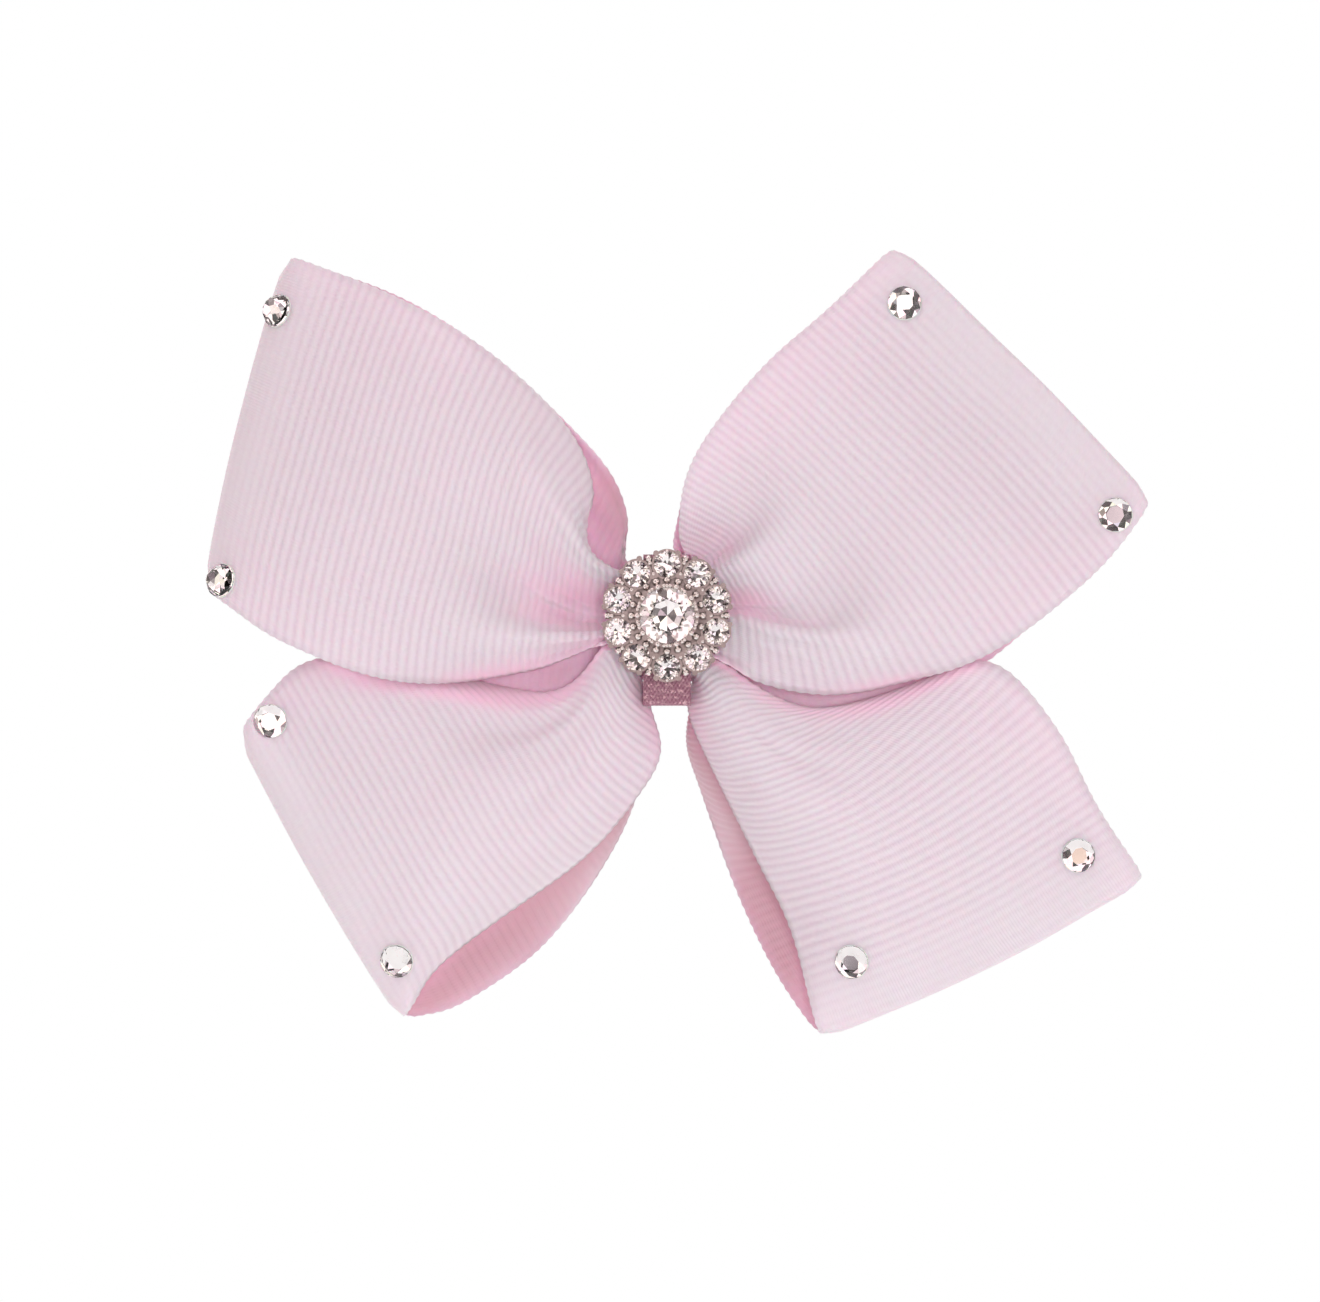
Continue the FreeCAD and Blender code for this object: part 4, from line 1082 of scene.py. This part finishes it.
def cluster_claws():
    """Bright claws of the cluster's setting: shared ones between the stones, and small ones at their rims."""
    _, middle, near, _ = middle_of("centre_crystal")
    ring = named("ring_crystal")
    stone, stone_radius, ring_near, plate = middle_of(ring[0])
    pitch = hypot(stone.x, stone.z)
    girdle = ring_near + CROWN * stone_radius
    high_girdle = near + CROWN * middle
    step = tau / len(ring)
    routes = []
    for k in range(len(ring)):
        angle = pi / 2 + k * step
        between = angle + step / 2
        for turn, foot, tip, top, thick in (
                (between, middle + 0.42, middle + 0.16, high_girdle - 0.25, 0.30),
                (angle, middle + 0.30, middle + 0.14, high_girdle - 0.15, 0.22),
                (between, pitch - 0.75, pitch - 0.80, girdle - 0.12, 0.27),
                (between, pitch + 0.45, pitch + 0.40, girdle - 0.12, 0.25),
                (between, pitch + 0.90, pitch + 0.85, girdle + 0.25, 0.40)):
            routes.append(post(polar(foot, turn, plate), polar(tip, turn, top), thick))
        for lean in RIM_CLAW_LEANS:
            x, _, z = polar(pitch, angle, 0)
            reach = RING_SPREAD * stone_radius + 0.02
            x += reach * cos(angle + lean)
            z += reach * sin(angle + lean)
            routes.append(post((x, plate, z), (0.99 * x, girdle - 0.16, 0.99 * z), 0.20))
    for count, reach, height, thick in BEAD_ROWS:
        for k in range(count):
            angle = k * tau / count
            foot = polar(middle + reach, angle, plate - height + BEAD_LENGTH)
            routes.append(post(foot, polar(middle + reach, angle, plate - height), thick))
    add_piece("cluster_claws", tube_mesh("cluster_claws", routes), "silver_plate", silver)


# ---- the clip's soft and sprung parts
SPRING_WIRE = 0.5
SPRING_TURNS = 5.5
TURN_POINTS = 28
LEG_POINTS = 8
LEG_SHARE = 0.92  # how much of the way to the coil's middle a leg is straight
LINER_COLUMNS = 17
LINER_RIB = 0.5 * RIB_PITCH


def torsion_spring():
    """A coil round the hinge pin, with one leg along each arm of the clip."""
    joint = frame["joints"][0]
    axis_x, axis_y = joint["pos_m"][0] / MM, joint["pos_m"][1] / MM
    low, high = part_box("clip_spring")
    wire = 0.5 * SPRING_WIRE
    coil = high.x / MM - axis_x - wire
    leg_end = low.x / MM + wire
    bottom, top = low.z / MM + wire, high.z / MM - wire

    def leg(y, z, shares):
        return [(leg_end + share * (axis_x - leg_end), y, z) for share in shares]

    shares = np.linspace(0, LEG_SHARE, LEG_POINTS)
    points = leg(axis_y - coil, bottom, shares)
    for share in np.linspace(0, 1, int(SPRING_TURNS * TURN_POINTS) + 1):
        angle = -pi / 2 + share * SPRING_TURNS * tau
        points.append((axis_x + coil * cos(angle), axis_y + coil * sin(angle),
                       bottom + (top - bottom) * share))
    points += leg(axis_y + coil, top, shares[::-1])
    mesh = tube_mesh("torsion_spring", [(points, [wire] * len(points))], 10)
    piece = add_object("torsion_spring", mesh, spring_wire)
    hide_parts("clip_spring")
    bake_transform(piece)


def clip_liner():
    """The ribbed strip that lines the clip, its ribs across it and its selvedges rounded."""
    low, high = (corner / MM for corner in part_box("clip_liner"))
    x = np.linspace(low.x, high.x, int((high.x - low.x) / LINER_RIB * 6) + 1)
    z = np.linspace(low.z, high.z, LINER_COLUMNS)
    middle, half = 0.5 * (low.y + high.y), 0.5 * (high.y - low.y)
    wave = 0.82 + 0.18 * np.cos(tau * x / LINER_RIB)
    edge = np.sqrt(np.clip(1 - (np.abs(z - z.mean()) / (0.5 * (z[-1] - z[0]))) ** 12, 0.02, 1))
    swell = half * wave[:, None] * edge
    along, across = np.meshgrid(x, z, indexing="ij")
    faces = [np.stack([along, middle + side * swell, across], axis=2) for side in (-1, 1)]
    vertices = np.concatenate([face.reshape(-1, 3) for face in faces])
    rows, wide = along.shape
    behind = rows * wide
    grid = np.arange(behind).reshape(rows, wide)
    rim = np.concatenate([grid[0], grid[1:, -1], grid[-1, -2::-1], grid[-2:0:-1, 0]])
    after = np.roll(rim, -1)
    sides = np.stack([after, after + behind, rim + behind, rim], axis=1)
    quads = grid_quads(rows, wide, False)
    mesh = smooth_mesh("liner_strip", vertices, np.concatenate([quads[:, ::-1], quads + behind, sides]))
    add_piece("liner_strip", mesh, "liner", liner_cloth(), node="clip_liner")


def dress_cad_nodes():
    """Materials for the CAD nodes that stay as they are."""
    finishes = {"centre_wrap": glitter_wrap(), "cinch_thread": twisted_thread(), "cluster_base": recess,
                "cluster_glue": glue, "clip_glue": glue, "clip_base_arm": nickel, "clip_jaw_arm": nickel,
                "clip_pivot_pin": nickel}
    for node, material in finishes.items():
        for slot in frame["nodes"][node].material_slots:
            slot.material = material


cluster_stones()
corner_stones()
cluster_claws()
torsion_spring()
clip_liner()
dress_cad_nodes()


# ---- stage, light and camera
FILL_LIGHT = 0.26  # light on cloth from in front and from behind
BACKDROP_LIGHT = 0.72
# Bright windows that stones and metal mirror: the way to each, its cosine at the rim and the heart,
# and its strength.
WINDOWS = (((0, -1, 0), 0.95, 0.98, 0.8), ((-0.92, -0.12, 0.36), 0.86, 0.95, 1.3))
# Square lamps that face the bow: name, place and size in metres, and watts.
LAMPS = (("key", (-0.30, -0.66, 0.60), 0.40, 0.95), ("front", (0.08, -0.92, -0.02), 0.25, 3.3),
         ("side", (0.80, -0.40, 0.20), 0.40, 0.7), ("rear", (-0.30, 0.80, 0.50), 0.60, 1.9))
FLOOR_HALF = 0.22
FLOOR_HEIGHT = -0.12
LENS = 150
SENSOR = 36
VIEW_WIDTH = 139.4
VIEW_CENTRE = (-0.74, -9, -3.7)


def surroundings():
    """White to the eye, soft graded light on cloth, and light and dark patches with bright windows
    for stones and metal to mirror."""
    world = bpy.data.worlds.new("studio")
    bpy.context.scene.world = world
    world.use_nodes = True
    sky = Nodes(world.node_tree)
    white = sky.tree.nodes["Background"]
    sky.feed(white.inputs["Color"], (1, 1, 1))
    direction = sky.add("TexCoord", {}, "Generated")
    _, away, _ = sky.split(direction)
    fill = sky.add("Background", {"Color": (1, 0.985, 0.98),
                                  "Strength": sky.ranged(away, FILL_LIGHT, BACKDROP_LIGHT, -0.1, 0.5)})
    brightness = sky.ranged(sky.noise(direction, 3.4, 0), 0.08, 1.8, 0.46, 0.53)
    for way, rim, heart, strength in WINDOWS:
        towards = sky.add("VectorMath", {0: direction, 1: way}, "Value", operation="DOT_PRODUCT")
        brightness = sky.math("MAXIMUM", brightness, sky.ranged(towards, 0, strength, rim, heart))
    tint = sky.mix(0.3, (0.97, 0.80, 0.79), sky.noise(direction, 9, 0, "Color"))
    mirrored = sky.add("Background", {"Color": tint, "Strength": brightness})
    path = sky.add("LightPath", {}).node.outputs
    lit = sky.add("MixShader", {0: path["Is Diffuse Ray"], 1: mirrored, 2: fill})
    seen = sky.add("MixShader", {0: path["Is Camera Ray"], 1: lit, 2: white.outputs[0]})
    sky.feed(sky.tree.nodes["World Output"].inputs["Surface"], seen)


def lamps():
    """Soft square lights, which stones and metal don't mirror."""
    for name, place, size, energy in LAMPS:
        light = bpy.data.lights.new(name, "AREA")
        light.size = size
        light.energy = energy
        stand = add_object(name, light)
        stand.location = place
        stand.rotation_euler = (-stand.location).to_track_quat("-Z", "Y").to_euler()
        stand.visible_glossy = False
        stand.visible_transmission = False


def floor():
    """A small pale floor far below."""
    mesh = bpy.data.meshes.new("floor")
    corners = ((-1, -1), (1, -1), (1, 1), (-1, 1))
    mesh.from_pydata([(x * FLOOR_HALF, y * FLOOR_HALF, FLOOR_HEIGHT) for x, y in corners], [], [range(4)])
    add_object("floor", mesh, floor_paint())


def camera():
    """The view square from the front."""
    data = bpy.data.cameras.new("camera")
    data.lens = LENS
    data.sensor_width = SENSOR
    eye = add_object("camera", data)
    x, y, z = VIEW_CENTRE
    distance = data.lens / data.sensor_width * (VIEW_WIDTH * MM)
    eye.location = (x * MM, y * MM - distance, z * MM)
    eye.rotation_euler = (pi / 2, 0, 0)
    bpy.context.scene.camera = eye


bpy.context.scene.view_settings.view_transform = "Standard"
surroundings()
lamps()
floor()
camera()
